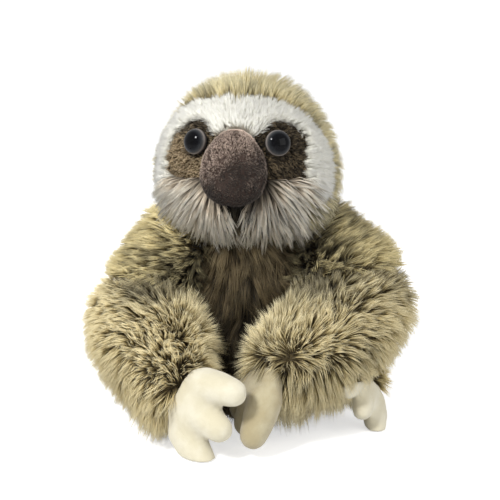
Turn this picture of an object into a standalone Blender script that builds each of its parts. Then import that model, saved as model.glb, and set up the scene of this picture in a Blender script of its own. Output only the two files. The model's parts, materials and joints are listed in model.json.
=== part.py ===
"""Plush sloth that sits with its arms folded in front of its belly.

Metres, +Z up. The origin is the middle of the box's base, on the surface that the toy
sits on, and the toy faces -Y. Forms are made about the middle of the seat, then shifted.
"left" and "right" are the toy's own sides, so its left side lies at +X.
Long fur is left out: each stuffed piece ends about halfway up its pile.
"""

import math

import bmesh
import bpy
from mathutils import Matrix, Vector

# Fabric and fits
COVER_WALL = 0.0035
SEAM_GAP = 0.0004
SEAT_GAP = 0.0004
FIBRE_GAP = 0.0004
OVERRUN = 0.02

# Facets round a form
BIG_SIDES = 24
LIMB_SIDES = 16
CLAW_SIDES = 12
EYE_SIDES = 20
CAP_RINGS = 3
SHARP_ANGLE = 40.0

# Torso: shares of height, half width and half depth, from the seat up to the neck
TORSO_HEIGHT = 0.156
TORSO_HALF_WIDTH = 0.056
TORSO_HALF_DEPTH = 0.045
TORSO_PROFILE_SHARES = (
    (0.00, 0.80, 0.80),
    (0.05, 0.94, 0.93),
    (0.18, 1.00, 1.00),
    (0.36, 0.99, 0.97),
    (0.54, 0.92, 0.90),
    (0.70, 0.80, 0.81),
    (0.82, 0.64, 0.74),
    (0.90, 0.52, 0.65),
    (0.96, 0.34, 0.42),
    (1.00, 0.00, 0.00),
)
CHEST_PANEL_WIDTH_SHARE = 0.62
CHEST_PANEL_LOW_SHARE = 0.12
CHEST_PANEL_HIGH_SHARE = 0.84
CHEST_PANEL_CORNER_SHARE = 0.5
CLOSING_SEAM_LOW_SHARE = 0.30
CLOSING_SEAM_HIGH_SHARE = 0.62

# Bag of plastic pellets that weighs the seat down
PELLET_BAG_RADIUS = 0.033
PELLET_BAG_HEIGHT = 0.026
PELLET_BAG_SHARES = ((0.55, 0.0), (0.85, 0.12), (1.0, 0.45), (0.9, 0.78), (0.6, 0.96))

# Head: shares of height, half width and half depth, from the throat up to the crown
HEAD_HEIGHT = 0.102
HEAD_HALF_WIDTH = 0.058
HEAD_HALF_DEPTH = 0.052
HEAD_OVERLAP = 0.017
HEAD_FORWARD = 0.010
HEAD_TURN = -9.0
SLOPE_SHARE = 0.03
HEAD_PROFILE_SHARES = (
    (0.00, 0.00, 0.00),
    (0.03, 0.48, 0.42),
    (0.10, 0.82, 0.74),
    (0.20, 0.99, 0.92),
    (0.34, 1.05, 0.99),
    (0.50, 1.03, 1.00),
    (0.64, 0.95, 0.97),
    (0.77, 0.82, 0.87),
    (0.88, 0.63, 0.68),
    (0.96, 0.37, 0.41),
    (1.00, 0.00, 0.00),
)

# Face panels: edges as degrees round the head from the front and shares of its height.
# The first row of each is the upper or outer edge, the second the lower or inner edge.
PANEL_PILE = 0.003
BROW_SHARES = (
    ((0.3, 0.915), (26, 0.90), (48, 0.85), (64, 0.75), (73, 0.60), (77, 0.44), (74, 0.27)),
    ((0.3, 0.64), (13, 0.69), (25, 0.78), (42, 0.765), (56, 0.66), (61, 0.48), (61, 0.32)),
)
EYE_PATCH_SHARES = (
    ((12.5, 0.66), (24.5, 0.755), (41, 0.74), (53.5, 0.64), (58.5, 0.48)),
    ((13, 0.42), (25, 0.41), (36, 0.40), (47, 0.40), (58.5, 0.41)),
)
CHEEK_SHARES = (
    ((9.5, 0.40), (25, 0.39), (36, 0.38), (47, 0.38), (58, 0.385), (61, 0.30), (72, 0.25)),
    ((9.5, 0.09), (22, 0.09), (34, 0.09), (46, 0.10), (56, 0.115), (64, 0.13), (72, 0.15)),
)
CHIN_SHARES = (
    ((-9, 0.34), (0, 0.34), (9, 0.34)),
    ((-9, 0.10), (0, 0.10), (9, 0.10)),
)

# Muzzle: shares of its reach, and of its half width and half height there
MUZZLE_HALF_WIDTH = 0.0225
MUZZLE_HALF_HEIGHT = 0.0265
MUZZLE_REACH = 0.054
MUZZLE_PROUD = 0.035
MUZZLE_HEIGHT_SHARE = 0.485
MUZZLE_TOP_PINCH_SHARE = 0.16
MUZZLE_PROFILE_SHARES = (
    (0.00, 0.00),
    (0.00, 0.80),
    (0.28, 0.93),
    (0.52, 1.00),
    (0.70, 0.94),
    (0.84, 0.76),
    (0.95, 0.45),
    (1.00, 0.00),
)

# Safety eye: clear dome, black backing with a ribbed shank, and a push-on washer
EYE_RADIUS = 0.009
EYE_DOME_HEIGHT = 0.0062
EYE_BACKING_HEIGHT = 0.0016
EYE_BACKING_EDGE = 0.0004
EYE_SHANK_RADIUS = 0.0024
EYE_SHANK_LENGTH = 0.017
EYE_SHANK_RIB = 0.0003
EYE_SHANK_RIBS = 4
EYE_SHANK_TIP_SHARE = 0.6
EYE_FIT_GAP = 0.0003
EYE_TURN = 28.0
EYE_HEIGHT_SHARE = 0.63
WASHER_RADIUS = 0.0078
WASHER_THICKNESS = 0.0012
WASHER_HUB_HEIGHT = 0.0016
WASHER_HUB_WALL = 0.0015
WASHER_SETBACK = 0.0022

# Arms: headings are degrees inward from straight ahead, drops are degrees below level
SHOULDER_HEIGHT_SHARE = 0.775
SHOULDER_STANDOFF = 0.013
SHOULDER_FORWARD = 0.004
LEFT_UPPER_ARM_LENGTH = 0.051
RIGHT_UPPER_ARM_LENGTH = 0.060
LEFT_UPPER_ARM_DROP = 54.0
RIGHT_UPPER_ARM_DROP = 58.0
UPPER_ARM_HEADING = -56.0
UPPER_ARM_RADIUS = 0.029
LEFT_UPPER_ARM_MIDDLE_RADIUS = 0.039
RIGHT_UPPER_ARM_MIDDLE_RADIUS = 0.032
UPPER_ARM_END_RADIUS = 0.033
ELBOW_RADIUS = 0.0355
FOREARM_RADIUS = 0.038
FOREARM_LOWER_RADIUS = 0.0345
WRIST_RADIUS = 0.026
CUFF_SETBACK_SHARE = 0.75
FOREARM_POINT_SHARES = (0.0, 0.3, 0.65, 1.0)
FOREARM_SAG_SHARES = (0.0, 0.6, 1.0, 0.4)
LEFT_FOREARM_LENGTH = 0.0937
LEFT_FOREARM_HEADING = 44.0
LEFT_FOREARM_DROP = 16.5
LEFT_FOREARM_SAG = 0.008
RIGHT_FOREARM_LENGTH = 0.0846
RIGHT_FOREARM_HEADING = 22.5
RIGHT_FOREARM_DROP = 22.4
RIGHT_FOREARM_SAG = 0.001

# Legs
HIP_HEIGHT = 0.019
HIP_OUT_SHARE = 0.55
HIP_FORWARD_SHARE = 0.45
LEFT_LEG_LENGTH = 0.058
RIGHT_LEG_LENGTH = 0.030
LEG_HALF_WIDTH = 0.020
LEG_HALF_HEIGHT = 0.0155
ANKLE_HALF_WIDTH = 0.016
ANKLE_HALF_HEIGHT = 0.0125
LEFT_LEG_HEADING = -68.0
RIGHT_LEG_HEADING = -60.0
LEFT_LEG_DROP = -16.0
RIGHT_LEG_DROP = 4.0

# Paws: a palm with three blunt claws
PALM_HALF_LENGTH = 0.022
PALM_HALF_SPREAD = 0.028
PALM_HALF_THICKNESS = 0.0125
PALM_REACH = 0.016
CLAW_RADIUS = 0.0118
CLAW_TIP_RADIUS = 0.0100
CLAW_LENGTH = 0.026
CLAW_SPACING = 0.019
CLAW_FAN = 20.0
FOOT_SHARE = 0.80

# How each paw lies: heading, drop, and roll of its spread
LEFT_HAND_POSE = (82.0, 66.0, 0.0)
RIGHT_HAND_POSE = (46.0, 21.0, 80.0)
LEFT_FOOT_POSE = (8.0, 30.0, -65.0)
RIGHT_FOOT_POSE = (14.0, 5.0, 0.0)

# How far each seam lets its piece move, in degrees from the pose of the photograph
NECK_RANGE = (-30.0, 30.0)
SHOULDER_RANGE = (0.0, 20.0)
ELBOW_RANGE = (0.0, 16.0)
LEFT_WRIST_RANGE = (-15.0, 0.0)
RIGHT_WRIST_RANGE = (0.0, 15.0)
HIP_RANGE = (0.0, 12.0)
SWEEP_STEP = 6.0

# The arms open outwards and rise a little, so each axis leans from upright towards level
OPENING_LEAN = 30.0

MATERIALS = {
    "tan_fur": ((0.47, 0.39, 0.24), 0.95),
    "dark_fur": ((0.16, 0.12, 0.08), 0.95),
    "frosted_fur": ((0.62, 0.56, 0.46), 0.95),
    "white_plush": ((0.83, 0.80, 0.70), 0.9),
    "patch_plush": ((0.10, 0.07, 0.04), 0.9),
    "muzzle_plush": ((0.13, 0.085, 0.065), 0.9),
    "cream_velour": ((0.82, 0.77, 0.60), 0.85),
    "fibre_fill": ((0.85, 0.85, 0.83), 1.0),
    "pellet_cloth": ((0.75, 0.75, 0.75), 0.9),
    "clear_plastic": ((0.02, 0.02, 0.024), 0.08),
    "black_plastic": ((0.012, 0.012, 0.014), 0.25),
}


def clear_scene():
    for thing in list(bpy.data.objects):
        bpy.data.objects.remove(thing)


def material(slot):
    found = bpy.data.materials.get(slot)
    if found:
        return found
    colour, roughness = MATERIALS[slot]
    made = bpy.data.materials.new(slot)
    made.use_nodes = True
    shader = made.node_tree.nodes["Principled BSDF"]
    shader.inputs["Base Color"].default_value = (*colour, 1.0)
    shader.inputs["Roughness"].default_value = roughness
    shader.inputs["Metallic"].default_value = 0.0
    return made


# Rings and skins

def heading_vector(side, heading, drop):
    """Unit vector for a heading inward from straight ahead and a drop below level."""
    turn, fall = math.radians(heading), math.radians(drop)
    level = math.cos(fall)
    return Vector((-side * math.sin(turn) * level, -math.cos(turn) * level, -math.sin(fall)))


def ring(centre, across, upright, half_across, half_upright, sides, pinch=0.0):
    """Points of an oval, counterclockwise round across x upright. pinch narrows its top."""
    points = []
    for k in range(sides):
        turn = 2 * math.pi * k / sides
        narrow = 1 - pinch * math.sin(turn)
        out = across * (half_across * math.cos(turn) * narrow)
        points.append(centre + out + upright * (half_upright * math.sin(turn)))
    return points


def solid_from(shape, name):
    """An object from a closed bmesh, its faces turned outwards."""
    bmesh.ops.recalc_face_normals(shape, faces=shape.faces)
    if shape.calc_volume(signed=True) < 0:
        bmesh.ops.reverse_faces(shape, faces=shape.faces)
    mesh = bpy.data.meshes.new(name)
    shape.to_mesh(mesh)
    shape.free()
    made = bpy.data.objects.new(name, mesh)
    bpy.context.collection.objects.link(made)
    return made


def skin(name, rings):
    """A closed mesh over rings of points. A ring of one point is a pole."""
    shape = bmesh.new()
    rows = [[shape.verts.new(point) for point in points] for points in rings]
    for low, high in zip(rows, rows[1:]):
        count = max(len(low), len(high))
        for k in range(count):
            after = (k + 1) % count
            if len(low) == 1:
                corners = (low[0], high[after], high[k])
            elif len(high) == 1:
                corners = (low[k], low[after], high[0])
            else:
                corners = (low[k], low[after], high[after], high[k])
            shape.faces.new(corners)
    for end in (rows[0], rows[-1]):
        if len(end) > 2:
            shape.faces.new(end)
    return solid_from(shape, name)


def profile_at(shares, height_share):
    """The width and depth shares of a profile at a share of its height."""
    for (low, low_width, low_depth), (high, high_width, high_depth) in zip(shares, shares[1:]):
        if height_share <= high:
            part = (height_share - low) / (high - low)
            width = low_width + (high_width - low_width) * part
            return width, low_depth + (high_depth - low_depth) * part
    return shares[-1][1:]


def upright_rings(shares, foot, height, half_width, half_depth, grow):
    """Level rings of a form that stands on foot, all its faces moved outwards by grow."""
    rings = []
    for height_share, width_share, depth_share in shares:
        centre = foot + Vector((0, 0, height_share * (height + 2 * grow) - grow))
        if width_share == 0:
            rings.append([centre])
            continue
        wide, deep = width_share * half_width + grow, depth_share * half_depth + grow
        rings.append(ring(centre, Vector((1, 0, 0)), Vector((0, 1, 0)), wide, deep, BIG_SIDES))
    return rings


def limb_rings(points, half_sizes, sides, grow, upright=Vector((0, 0, 1))):
    """Rings of a tapered tube with round ends. half_sizes are (across, upright) at each point."""
    ends = {0: -1, len(points) - 1: 1}
    rings = []
    for index, centre in enumerate(points):
        before, after = points[max(index - 1, 0)], points[min(index + 1, len(points) - 1)]
        ahead = (after - before).normalized()
        across = ahead.cross(upright).normalized()
        over = across.cross(ahead)
        wide, tall = (size + grow for size in half_sizes[index])
        row = [ring(centre, across, over, wide, tall, sides)]
        if index in ends:
            reach = min(wide, tall) * ends[index]
            cap = []
            for step in range(1, CAP_RINGS):
                turn = math.pi / 2 * step / CAP_RINGS
                middle = centre + ahead * (reach * math.sin(turn))
                narrow = math.cos(turn)
                cap.append(ring(middle, across, over, wide * narrow, tall * narrow, sides))
            cap.append([centre + ahead * reach])
            row = row + cap if ends[index] == 1 else cap[::-1] + row
        rings += row
    return rings


# Cuts and joins

def boolean(target, other, operation):
    """target joined with, cut by or kept inside other, which is removed."""
    modifier = target.modifiers.new(operation.title(), "BOOLEAN")
    modifier.operation = operation
    modifier.solver = "EXACT"
    modifier.object = other
    bpy.context.view_layer.update()
    graph = bpy.context.evaluated_depsgraph_get()
    mesh = bpy.data.meshes.new_from_object(target.evaluated_get(graph))
    target.modifiers.clear()
    target.data = mesh
    bpy.data.objects.remove(other)
    return target


def cut(target, *others):
    for other in others:
        boolean(target, other, "DIFFERENCE")
    return target


def keep_largest(thing):
    """Drops the slivers that a cut left beside the main body."""
    shape = bmesh.new()
    shape.from_mesh(thing.data)
    waiting, bodies = set(shape.verts), []
    while waiting:
        body, edge = set(), [waiting.pop()]
        while edge:
            vert = edge.pop()
            body.add(vert)
            joined = {link.other_vert(vert) for link in vert.link_edges} & waiting
            waiting -= joined
            edge.extend(joined)
        bodies.append(body)
    largest = max(bodies, key=lambda body: extent(body))
    bmesh.ops.delete(shape, geom=[vert for vert in shape.verts if vert not in largest], context="VERTS")
    shape.to_mesh(thing.data)
    shape.free()
    return thing


def extent(verts):
    """Summed spread of some vertices along the three axes."""
    spreads = []
    for axis in range(3):
        values = [vert.co[axis] for vert in verts]
        spreads.append(max(values) - min(values))
    return sum(spreads)


def swept_hull(form, pivot, axis, degrees_range):
    """The rounded space that a form sweeps as it turns about an axis through pivot."""
    low, high = degrees_range
    steps = math.ceil((high - low) / SWEEP_STEP)
    shape = bmesh.new()
    for step in range(steps + 1):
        turn = Matrix.Rotation(math.radians(low + (high - low) * step / steps), 3, axis)
        for vert in form.data.vertices:
            shape.verts.new(pivot + turn @ (vert.co - pivot))
    bpy.data.objects.remove(form)
    bmesh.ops.convex_hull(shape, input=shape.verts)
    inside = [vert for vert in shape.verts if not vert.link_faces]
    bmesh.ops.delete(shape, geom=inside, context="VERTS")
    return solid_from(shape, "swept_hull")


def finish(thing, name, slot, parent):
    """Names, colours and shades a piece, and hangs it on the empty of its body."""
    keep_largest(thing)
    thing.name = name
    thing.data.name = name
    thing.data.materials.clear()
    thing.data.materials.append(material(slot))
    thing.data.shade_smooth()
    thing.data.set_sharp_from_angle(angle=math.radians(SHARP_ANGLE))
    if parent is not None:
        thing.parent = parent
        bpy.context.view_layer.update()
        thing.matrix_parent_inverse = parent.matrix_world.inverted()
    return thing


def joint_empty(name, place, parent=None):
    empty = bpy.data.objects.new(name, None)
    bpy.context.collection.objects.link(empty)
    empty.empty_display_size = CLAW_LENGTH
    empty.location = place
    bpy.context.view_layer.update()
    if parent is not None:
        empty.parent = parent
        empty.matrix_parent_inverse = parent.matrix_world.inverted()
        bpy.context.view_layer.update()
    return empty


# Torso

def torso_form(grow=0.0):
    return skin("torso_form", upright_rings(
        TORSO_PROFILE_SHARES, Vector(), TORSO_HEIGHT, TORSO_HALF_WIDTH, TORSO_HALF_DEPTH, grow
    ))


def chest_block(grow=0.0):
    """A block through the front of the torso, with the rounded outline of the chest panel."""
    half = TORSO_HALF_WIDTH * CHEST_PANEL_WIDTH_SHARE + grow
    low = TORSO_HEIGHT * CHEST_PANEL_LOW_SHARE - grow
    high = TORSO_HEIGHT * CHEST_PANEL_HIGH_SHARE + grow
    corner = half * CHEST_PANEL_CORNER_SHARE
    outline = []
    for side_x, side_z, start in ((1, 1, 0), (-1, 1, 90), (-1, -1, 180), (1, -1, 270)):
        middle_z = high - corner if side_z == 1 else low + corner
        for step in range(CAP_RINGS + 1):
            turn = math.radians(start + 90 * step / CAP_RINGS)
            out = side_x * (half - corner) + corner * math.cos(turn)
            outline.append((out, middle_z + corner * math.sin(turn)))
    front = [Vector((x, -TORSO_HALF_DEPTH - OVERRUN, z)) for x, z in outline]
    back = [Vector((x, 0, z)) for x, z in outline]
    return skin("chest_block", [front, back])


def closing_seam():
    """A thin cutter for the hand-sewn slit in the middle of the back."""
    half, front, back = SEAM_GAP / 2, 0, TORSO_HALF_DEPTH + OVERRUN
    corners = [(-half, front), (half, front), (half, back), (-half, back)]
    levels = [share * TORSO_HEIGHT for share in (CLOSING_SEAM_LOW_SHARE, CLOSING_SEAM_HIGH_SHARE)]
    return skin("closing_seam", [[Vector((x, y, z)) for x, y in corners] for z in levels])


def pellet_bag_form(grow=0.0):
    """A squat bag that lies on the seat, just inside the cover."""
    floor = COVER_WALL + FIBRE_GAP
    rings = [[Vector((0, 0, floor - grow))]]
    for radius_share, height_share in PELLET_BAG_SHARES:
        height = floor + height_share * PELLET_BAG_HEIGHT + (2 * height_share - 1) * grow
        radius = radius_share * PELLET_BAG_RADIUS + grow
        centre = Vector((0, 0, height))
        rings.append(ring(centre, Vector((1, 0, 0)), Vector((0, 1, 0)), radius, radius, LIMB_SIDES))
    rings.append([Vector((0, 0, floor + PELLET_BAG_HEIGHT + grow))])
    return skin("pellet_bag_form", rings)


def make_torso():
    back = cut(torso_form(), torso_form(-COVER_WALL), chest_block(SEAM_GAP), closing_seam())
    finish(back, "torso_cover", "tan_fur", None)
    chest = boolean(torso_form(), chest_block(), "INTERSECT")
    finish(cut(chest, torso_form(-COVER_WALL)), "chest_panel", "dark_fur", None)
    finish(pellet_bag_form(), "pellet_bag", "pellet_cloth", None)
    fill = cut(torso_form(-COVER_WALL - FIBRE_GAP), pellet_bag_form(FIBRE_GAP))
    finish(fill, "torso_stuffing", "fibre_fill", None)


# Head, made facing straight ahead

def head_foot():
    return Vector((0, -HEAD_FORWARD, TORSO_HEIGHT - HEAD_OVERLAP))


def head_form(grow=0.0):
    return skin("head_form", upright_rings(
        HEAD_PROFILE_SHARES, head_foot(), HEAD_HEIGHT, HEAD_HALF_WIDTH, HEAD_HALF_DEPTH, grow
    ))


def neck_place():
    return Vector((0, 0, head_foot().z))


def turning_head():
    """The room that the head with its face panels needs as it turns on the neck."""
    reach = [limit + HEAD_TURN for limit in NECK_RANGE]
    return swept_hull(head_form(PANEL_PILE + SEAT_GAP), neck_place(), Vector((0, 0, 1)), reach)


def head_point(turn, height_share, lift=0.0):
    """A point over the head, turn degrees round from the front, lift off its skin, and the normal."""
    def on_skin(degrees, share):
        wide, deep = profile_at(HEAD_PROFILE_SHARES, share)
        round_turn = math.radians(degrees)
        return head_foot() + Vector((
            wide * HEAD_HALF_WIDTH * math.sin(round_turn),
            -deep * HEAD_HALF_DEPTH * math.cos(round_turn),
            share * HEAD_HEIGHT,
        ))

    low, high = max(height_share - SLOPE_SHARE, 0.0), min(height_share + SLOPE_SHARE, 1.0)
    round_step = on_skin(turn + 1, height_share) - on_skin(turn - 1, height_share)
    normal = round_step.cross(on_skin(turn, high) - on_skin(turn, low)).normalized()
    return on_skin(turn, height_share) + normal * lift, normal


def smooth_edge(points):
    """An edge through the points, with one more point halfway between each two.

    The halfway point lies on the cubic through the four points around it.
    """
    edge = [points[0]]
    for index in range(len(points) - 1):
        before, start = points[max(index - 1, 0)], points[index]
        end, after = points[index + 1], points[min(index + 2, len(points) - 1)]
        halfway = [(9 * (start[axis] + end[axis]) - before[axis] - after[axis]) / 16 for axis in (0, 1)]
        edge += [halfway, end]
    return edge


def face_panel(side, edges, cells_across):
    """A pad of plush that follows the head between an upper and a lower edge."""
    upper, lower = (smooth_edge(points) for points in edges)
    shape = bmesh.new()
    layers = []
    for lift in (-PANEL_PILE, PANEL_PILE):
        rows = []
        for (turn_a, share_a), (turn_b, share_b) in zip(upper, lower):
            row = []
            for cell in range(cells_across + 1):
                part = cell / cells_across
                turn = turn_a + (turn_b - turn_a) * part
                share = share_a + (share_b - share_a) * part
                row.append(shape.verts.new(head_point(side * turn, share, lift)[0]))
            rows.append(row)
        layers.append(rows)
    inner, outer = layers
    last_row, last_cell = len(upper) - 1, cells_across
    for row in range(last_row):
        for cell in range(last_cell):
            for near, far in ((layer[row], layer[row + 1]) for layer in layers):
                shape.faces.new((near[cell], far[cell], far[cell + 1], near[cell + 1]))
    for row in range(last_row):
        for cell in (0, last_cell):
            shape.faces.new((inner[row][cell], inner[row + 1][cell], outer[row + 1][cell], outer[row][cell]))
    for cell in range(last_cell):
        for row in (0, last_row):
            shape.faces.new((inner[row][cell], inner[row][cell + 1], outer[row][cell + 1], outer[row][cell]))
    face = boolean(head_form(SEAM_GAP), muzzle_form(SEAM_GAP), "UNION")
    return cut(solid_from(shape, "face_panel"), face)


def muzzle_form(grow=0.0):
    """The big egg of the muzzle, from inside the face to its blunt tip."""
    reach = HEAD_HALF_DEPTH + MUZZLE_PROUD + grow
    tip = head_foot() + Vector((0, -reach, MUZZLE_HEIGHT_SHARE * HEAD_HEIGHT))
    rings = []
    for reach_share, size_share in MUZZLE_PROFILE_SHARES:
        centre = tip + Vector((0, (1 - reach_share) * (MUZZLE_REACH + 2 * grow), 0))
        if size_share == 0:
            rings.append([centre])
            continue
        wide, tall = size_share * MUZZLE_HALF_WIDTH + grow, size_share * MUZZLE_HALF_HEIGHT + grow
        rings.append(ring(
            centre, Vector((1, 0, 0)), Vector((0, 0, 1)), wide, tall, BIG_SIDES, MUZZLE_TOP_PINCH_SHARE
        ))
    return skin("muzzle_form", rings)


def turned_part(frame, outline, sides):
    """A solid turned about the frame's Z axis. outline holds (radius, height) from one end to the other."""
    across, upright, ahead = (frame.to_3x3().col[k] for k in range(3))
    rings = []
    for radius, height in outline:
        centre = frame.translation + ahead * height
        rings.append([centre] if radius == 0 else ring(centre, across, upright, radius, radius, sides))
    return skin("turned_part", rings)


def eye_frame(side):
    """Stands on the head's skin at the eye, its Z axis pointing out of the face."""
    place, normal = head_point(side * EYE_TURN, EYE_HEIGHT_SHARE)
    rotation = normal.to_track_quat("Z", "Y").to_matrix().to_4x4()
    return Matrix.Translation(place) @ rotation


def shank_outline():
    """Backing disc, ribbed shank and its narrow tip."""
    seat = PANEL_PILE + EYE_FIT_GAP
    top = seat + EYE_BACKING_HEIGHT
    end = seat - EYE_SHANK_LENGTH
    disc = EYE_RADIUS - EYE_BACKING_EDGE
    outline = [(0, top), (disc - EYE_BACKING_EDGE, top), (disc, top - EYE_BACKING_EDGE), (disc, seat)]
    outline.append((EYE_SHANK_RADIUS, seat))
    rib_zone = EYE_SHANK_LENGTH * EYE_SHANK_TIP_SHARE / (2 * EYE_SHANK_RIBS)
    rib_start = end + rib_zone * (2 * EYE_SHANK_RIBS + 1)
    for rib in range(EYE_SHANK_RIBS):
        below = rib_start - 2 * rib * rib_zone
        outline.append((EYE_SHANK_RADIUS, below))
        outline.append((EYE_SHANK_RADIUS - EYE_SHANK_RIB, below - rib_zone))
    outline.append((EYE_SHANK_RADIUS * EYE_SHANK_TIP_SHARE, end))
    outline.append((0, end))
    return outline


def shank_bore(frame, radius):
    """A cutter for the shank, from outside the face to past the shank's tip."""
    reach = EYE_SHANK_LENGTH + SEAT_GAP
    return turned_part(frame, [(0, -reach), (radius, -reach), (radius, OVERRUN), (0, OVERRUN)], EYE_SIDES)


def washer_levels():
    """The washer's outer face, inner face and hub end, along the eye's axis."""
    face = -COVER_WALL - WASHER_SETBACK
    return face, face - WASHER_THICKNESS, face - WASHER_THICKNESS - WASHER_HUB_HEIGHT


def make_washer(frame):
    face, back, hub = washer_levels()
    bore = EYE_SHANK_RADIUS + EYE_FIT_GAP
    hub_radius = bore + WASHER_HUB_WALL
    outline = [(0, face), (WASHER_RADIUS, face), (WASHER_RADIUS, back)]
    outline += [(hub_radius, back), (hub_radius, hub), (0, hub)]
    body = turned_part(frame, outline, EYE_SIDES)
    return cut(body, shank_bore(frame, bore))


def washer_pocket(frame):
    """The dent that a washer and its shank leave in the head's filling."""
    face, _, hub = washer_levels()
    radius = WASHER_RADIUS + FIBRE_GAP
    end = hub - FIBRE_GAP
    tip = -EYE_SHANK_LENGTH - SEAT_GAP
    shaft = EYE_SHANK_RADIUS + EYE_FIT_GAP
    outline = [(0, OVERRUN), (radius, OVERRUN), (radius, end), (shaft, end), (shaft, tip), (0, tip)]
    return turned_part(frame, outline, EYE_SIDES)


def make_eye(side, word, parent):
    frame = eye_frame(side)
    shank = turned_part(frame, shank_outline(), EYE_SIDES)
    finish(shank, f"eye_shank_{word}", "black_plastic", parent)
    base = PANEL_PILE + EYE_FIT_GAP + EYE_BACKING_HEIGHT + EYE_FIT_GAP
    dome = [(0, base)]
    steps = 2 * CAP_RINGS
    for step in range(steps):
        turn = math.pi / 2 * step / steps
        dome.append((EYE_RADIUS * math.cos(turn), base + EYE_DOME_HEIGHT * math.sin(turn)))
    dome.append((0, base + EYE_DOME_HEIGHT))
    finish(turned_part(frame, dome, EYE_SIDES), f"eye_dome_{word}", "clear_plastic", parent)
    finish(make_washer(frame), f"eye_washer_{word}", "black_plastic", parent)


def make_head(parent):
    """Makes the head straight, then turns the empty that carries it about the neck."""
    frames = [eye_frame(side) for side in (1, -1)]
    hole = EYE_SHANK_RADIUS + EYE_FIT_GAP
    straight = Matrix.Rotation(math.radians(-HEAD_TURN), 4, "Z")
    pivot = parent.matrix_world.translation.copy()
    back = Matrix.Translation(pivot) @ straight @ Matrix.Translation(-pivot)

    def neck_room():
        neck = torso_form(SEAT_GAP)
        neck.data.transform(back)
        return swept_hull(neck, pivot, Vector((0, 0, 1)), opposite(NECK_RANGE))

    cover = cut(head_form(), head_form(-COVER_WALL), *(shank_bore(frame, hole) for frame in frames))
    fill = cut(head_form(-COVER_WALL - FIBRE_GAP), *(washer_pocket(frame) for frame in frames))
    finish(cut(cover, neck_room()), "head_cover", "tan_fur", parent)
    finish(cut(fill, neck_room()), "head_stuffing", "fibre_fill", parent)
    finish(cut(muzzle_form(), head_form(SEAT_GAP)), "muzzle", "muzzle_plush", parent)
    finish(face_panel(1, CHIN_SHARES, 3), "chin_panel", "frosted_fur", parent)
    for side, word, frame in ((1, "left", frames[0]), (-1, "right", frames[1])):
        finish(face_panel(side, BROW_SHARES, 3), f"brow_{word}", "white_plush", parent)
        patch = cut(face_panel(side, EYE_PATCH_SHARES, 4), shank_bore(frame, hole))
        finish(patch, f"eye_patch_{word}", "patch_plush", parent)
        finish(face_panel(side, CHEEK_SHARES, 4), f"cheek_{word}", "frosted_fur", parent)
        make_eye(side, word, parent)
    parent.rotation_euler.z = math.radians(HEAD_TURN)


# Arms, hands, legs and feet

def shoulder_place(side):
    wide, _ = profile_at(TORSO_PROFILE_SHARES, SHOULDER_HEIGHT_SHARE)
    out = wide * TORSO_HALF_WIDTH + SHOULDER_STANDOFF
    return Vector((side * out, -SHOULDER_FORWARD, SHOULDER_HEIGHT_SHARE * TORSO_HEIGHT))


def elbow_place(side):
    length = LEFT_UPPER_ARM_LENGTH if side == 1 else RIGHT_UPPER_ARM_LENGTH
    drop = LEFT_UPPER_ARM_DROP if side == 1 else RIGHT_UPPER_ARM_DROP
    return shoulder_place(side) + length * heading_vector(side, UPPER_ARM_HEADING, drop)


def forearm_direction(side):
    if side == 1:
        return heading_vector(side, LEFT_FOREARM_HEADING, LEFT_FOREARM_DROP)
    return heading_vector(side, RIGHT_FOREARM_HEADING, RIGHT_FOREARM_DROP)


def wrist_place(side):
    length = LEFT_FOREARM_LENGTH if side == 1 else RIGHT_FOREARM_LENGTH
    return elbow_place(side) + length * forearm_direction(side)


def between(start, end, share):
    return start + (end - start) * share


def upper_arm_form(side, grow=0.0):
    start, end = shoulder_place(side), elbow_place(side)
    middle = between(start, end, 0.5)
    middle_radius = LEFT_UPPER_ARM_MIDDLE_RADIUS if side == 1 else RIGHT_UPPER_ARM_MIDDLE_RADIUS
    sizes = [(radius, radius) for radius in (UPPER_ARM_RADIUS, middle_radius, UPPER_ARM_END_RADIUS)]
    upright = Vector((side, 0, 0))
    return skin("upper_arm_form", limb_rings([start, middle, end], sizes, LIMB_SIDES, grow, upright))


def forearm_form(side, grow=0.0):
    start, end = elbow_place(side), wrist_place(side)
    cuff = end - forearm_direction(side) * WRIST_RADIUS * CUFF_SETBACK_SHARE
    sag = Vector((0, 0, LEFT_FOREARM_SAG if side == 1 else RIGHT_FOREARM_SAG))
    shares = zip(FOREARM_POINT_SHARES, FOREARM_SAG_SHARES)
    points = [between(start, cuff, share) - sag_share * sag for share, sag_share in shares]
    sizes = [(radius, radius) for radius in (ELBOW_RADIUS, FOREARM_RADIUS, FOREARM_LOWER_RADIUS, WRIST_RADIUS)]
    return skin("forearm_form", limb_rings(points, sizes, LIMB_SIDES, grow))


def hip_place(side):
    out, forward = HIP_OUT_SHARE * TORSO_HALF_WIDTH, HIP_FORWARD_SHARE * TORSO_HALF_DEPTH
    return Vector((side * out, -forward, HIP_HEIGHT))


def ankle_place(side):
    if side == 1:
        return hip_place(side) + LEFT_LEG_LENGTH * heading_vector(side, LEFT_LEG_HEADING, LEFT_LEG_DROP)
    return hip_place(side) + RIGHT_LEG_LENGTH * heading_vector(side, RIGHT_LEG_HEADING, RIGHT_LEG_DROP)


def leg_form(side, grow=0.0):
    start, end = hip_place(side), ankle_place(side)
    points = [start, between(start, end, 0.5), end]
    middle = ((LEG_HALF_WIDTH + ANKLE_HALF_WIDTH) / 2, (LEG_HALF_HEIGHT + ANKLE_HALF_HEIGHT) / 2)
    sizes = [(LEG_HALF_WIDTH, LEG_HALF_HEIGHT), middle, (ANKLE_HALF_WIDTH, ANKLE_HALF_HEIGHT)]
    return skin("leg_form", limb_rings(points, sizes, LIMB_SIDES, grow))


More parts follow.
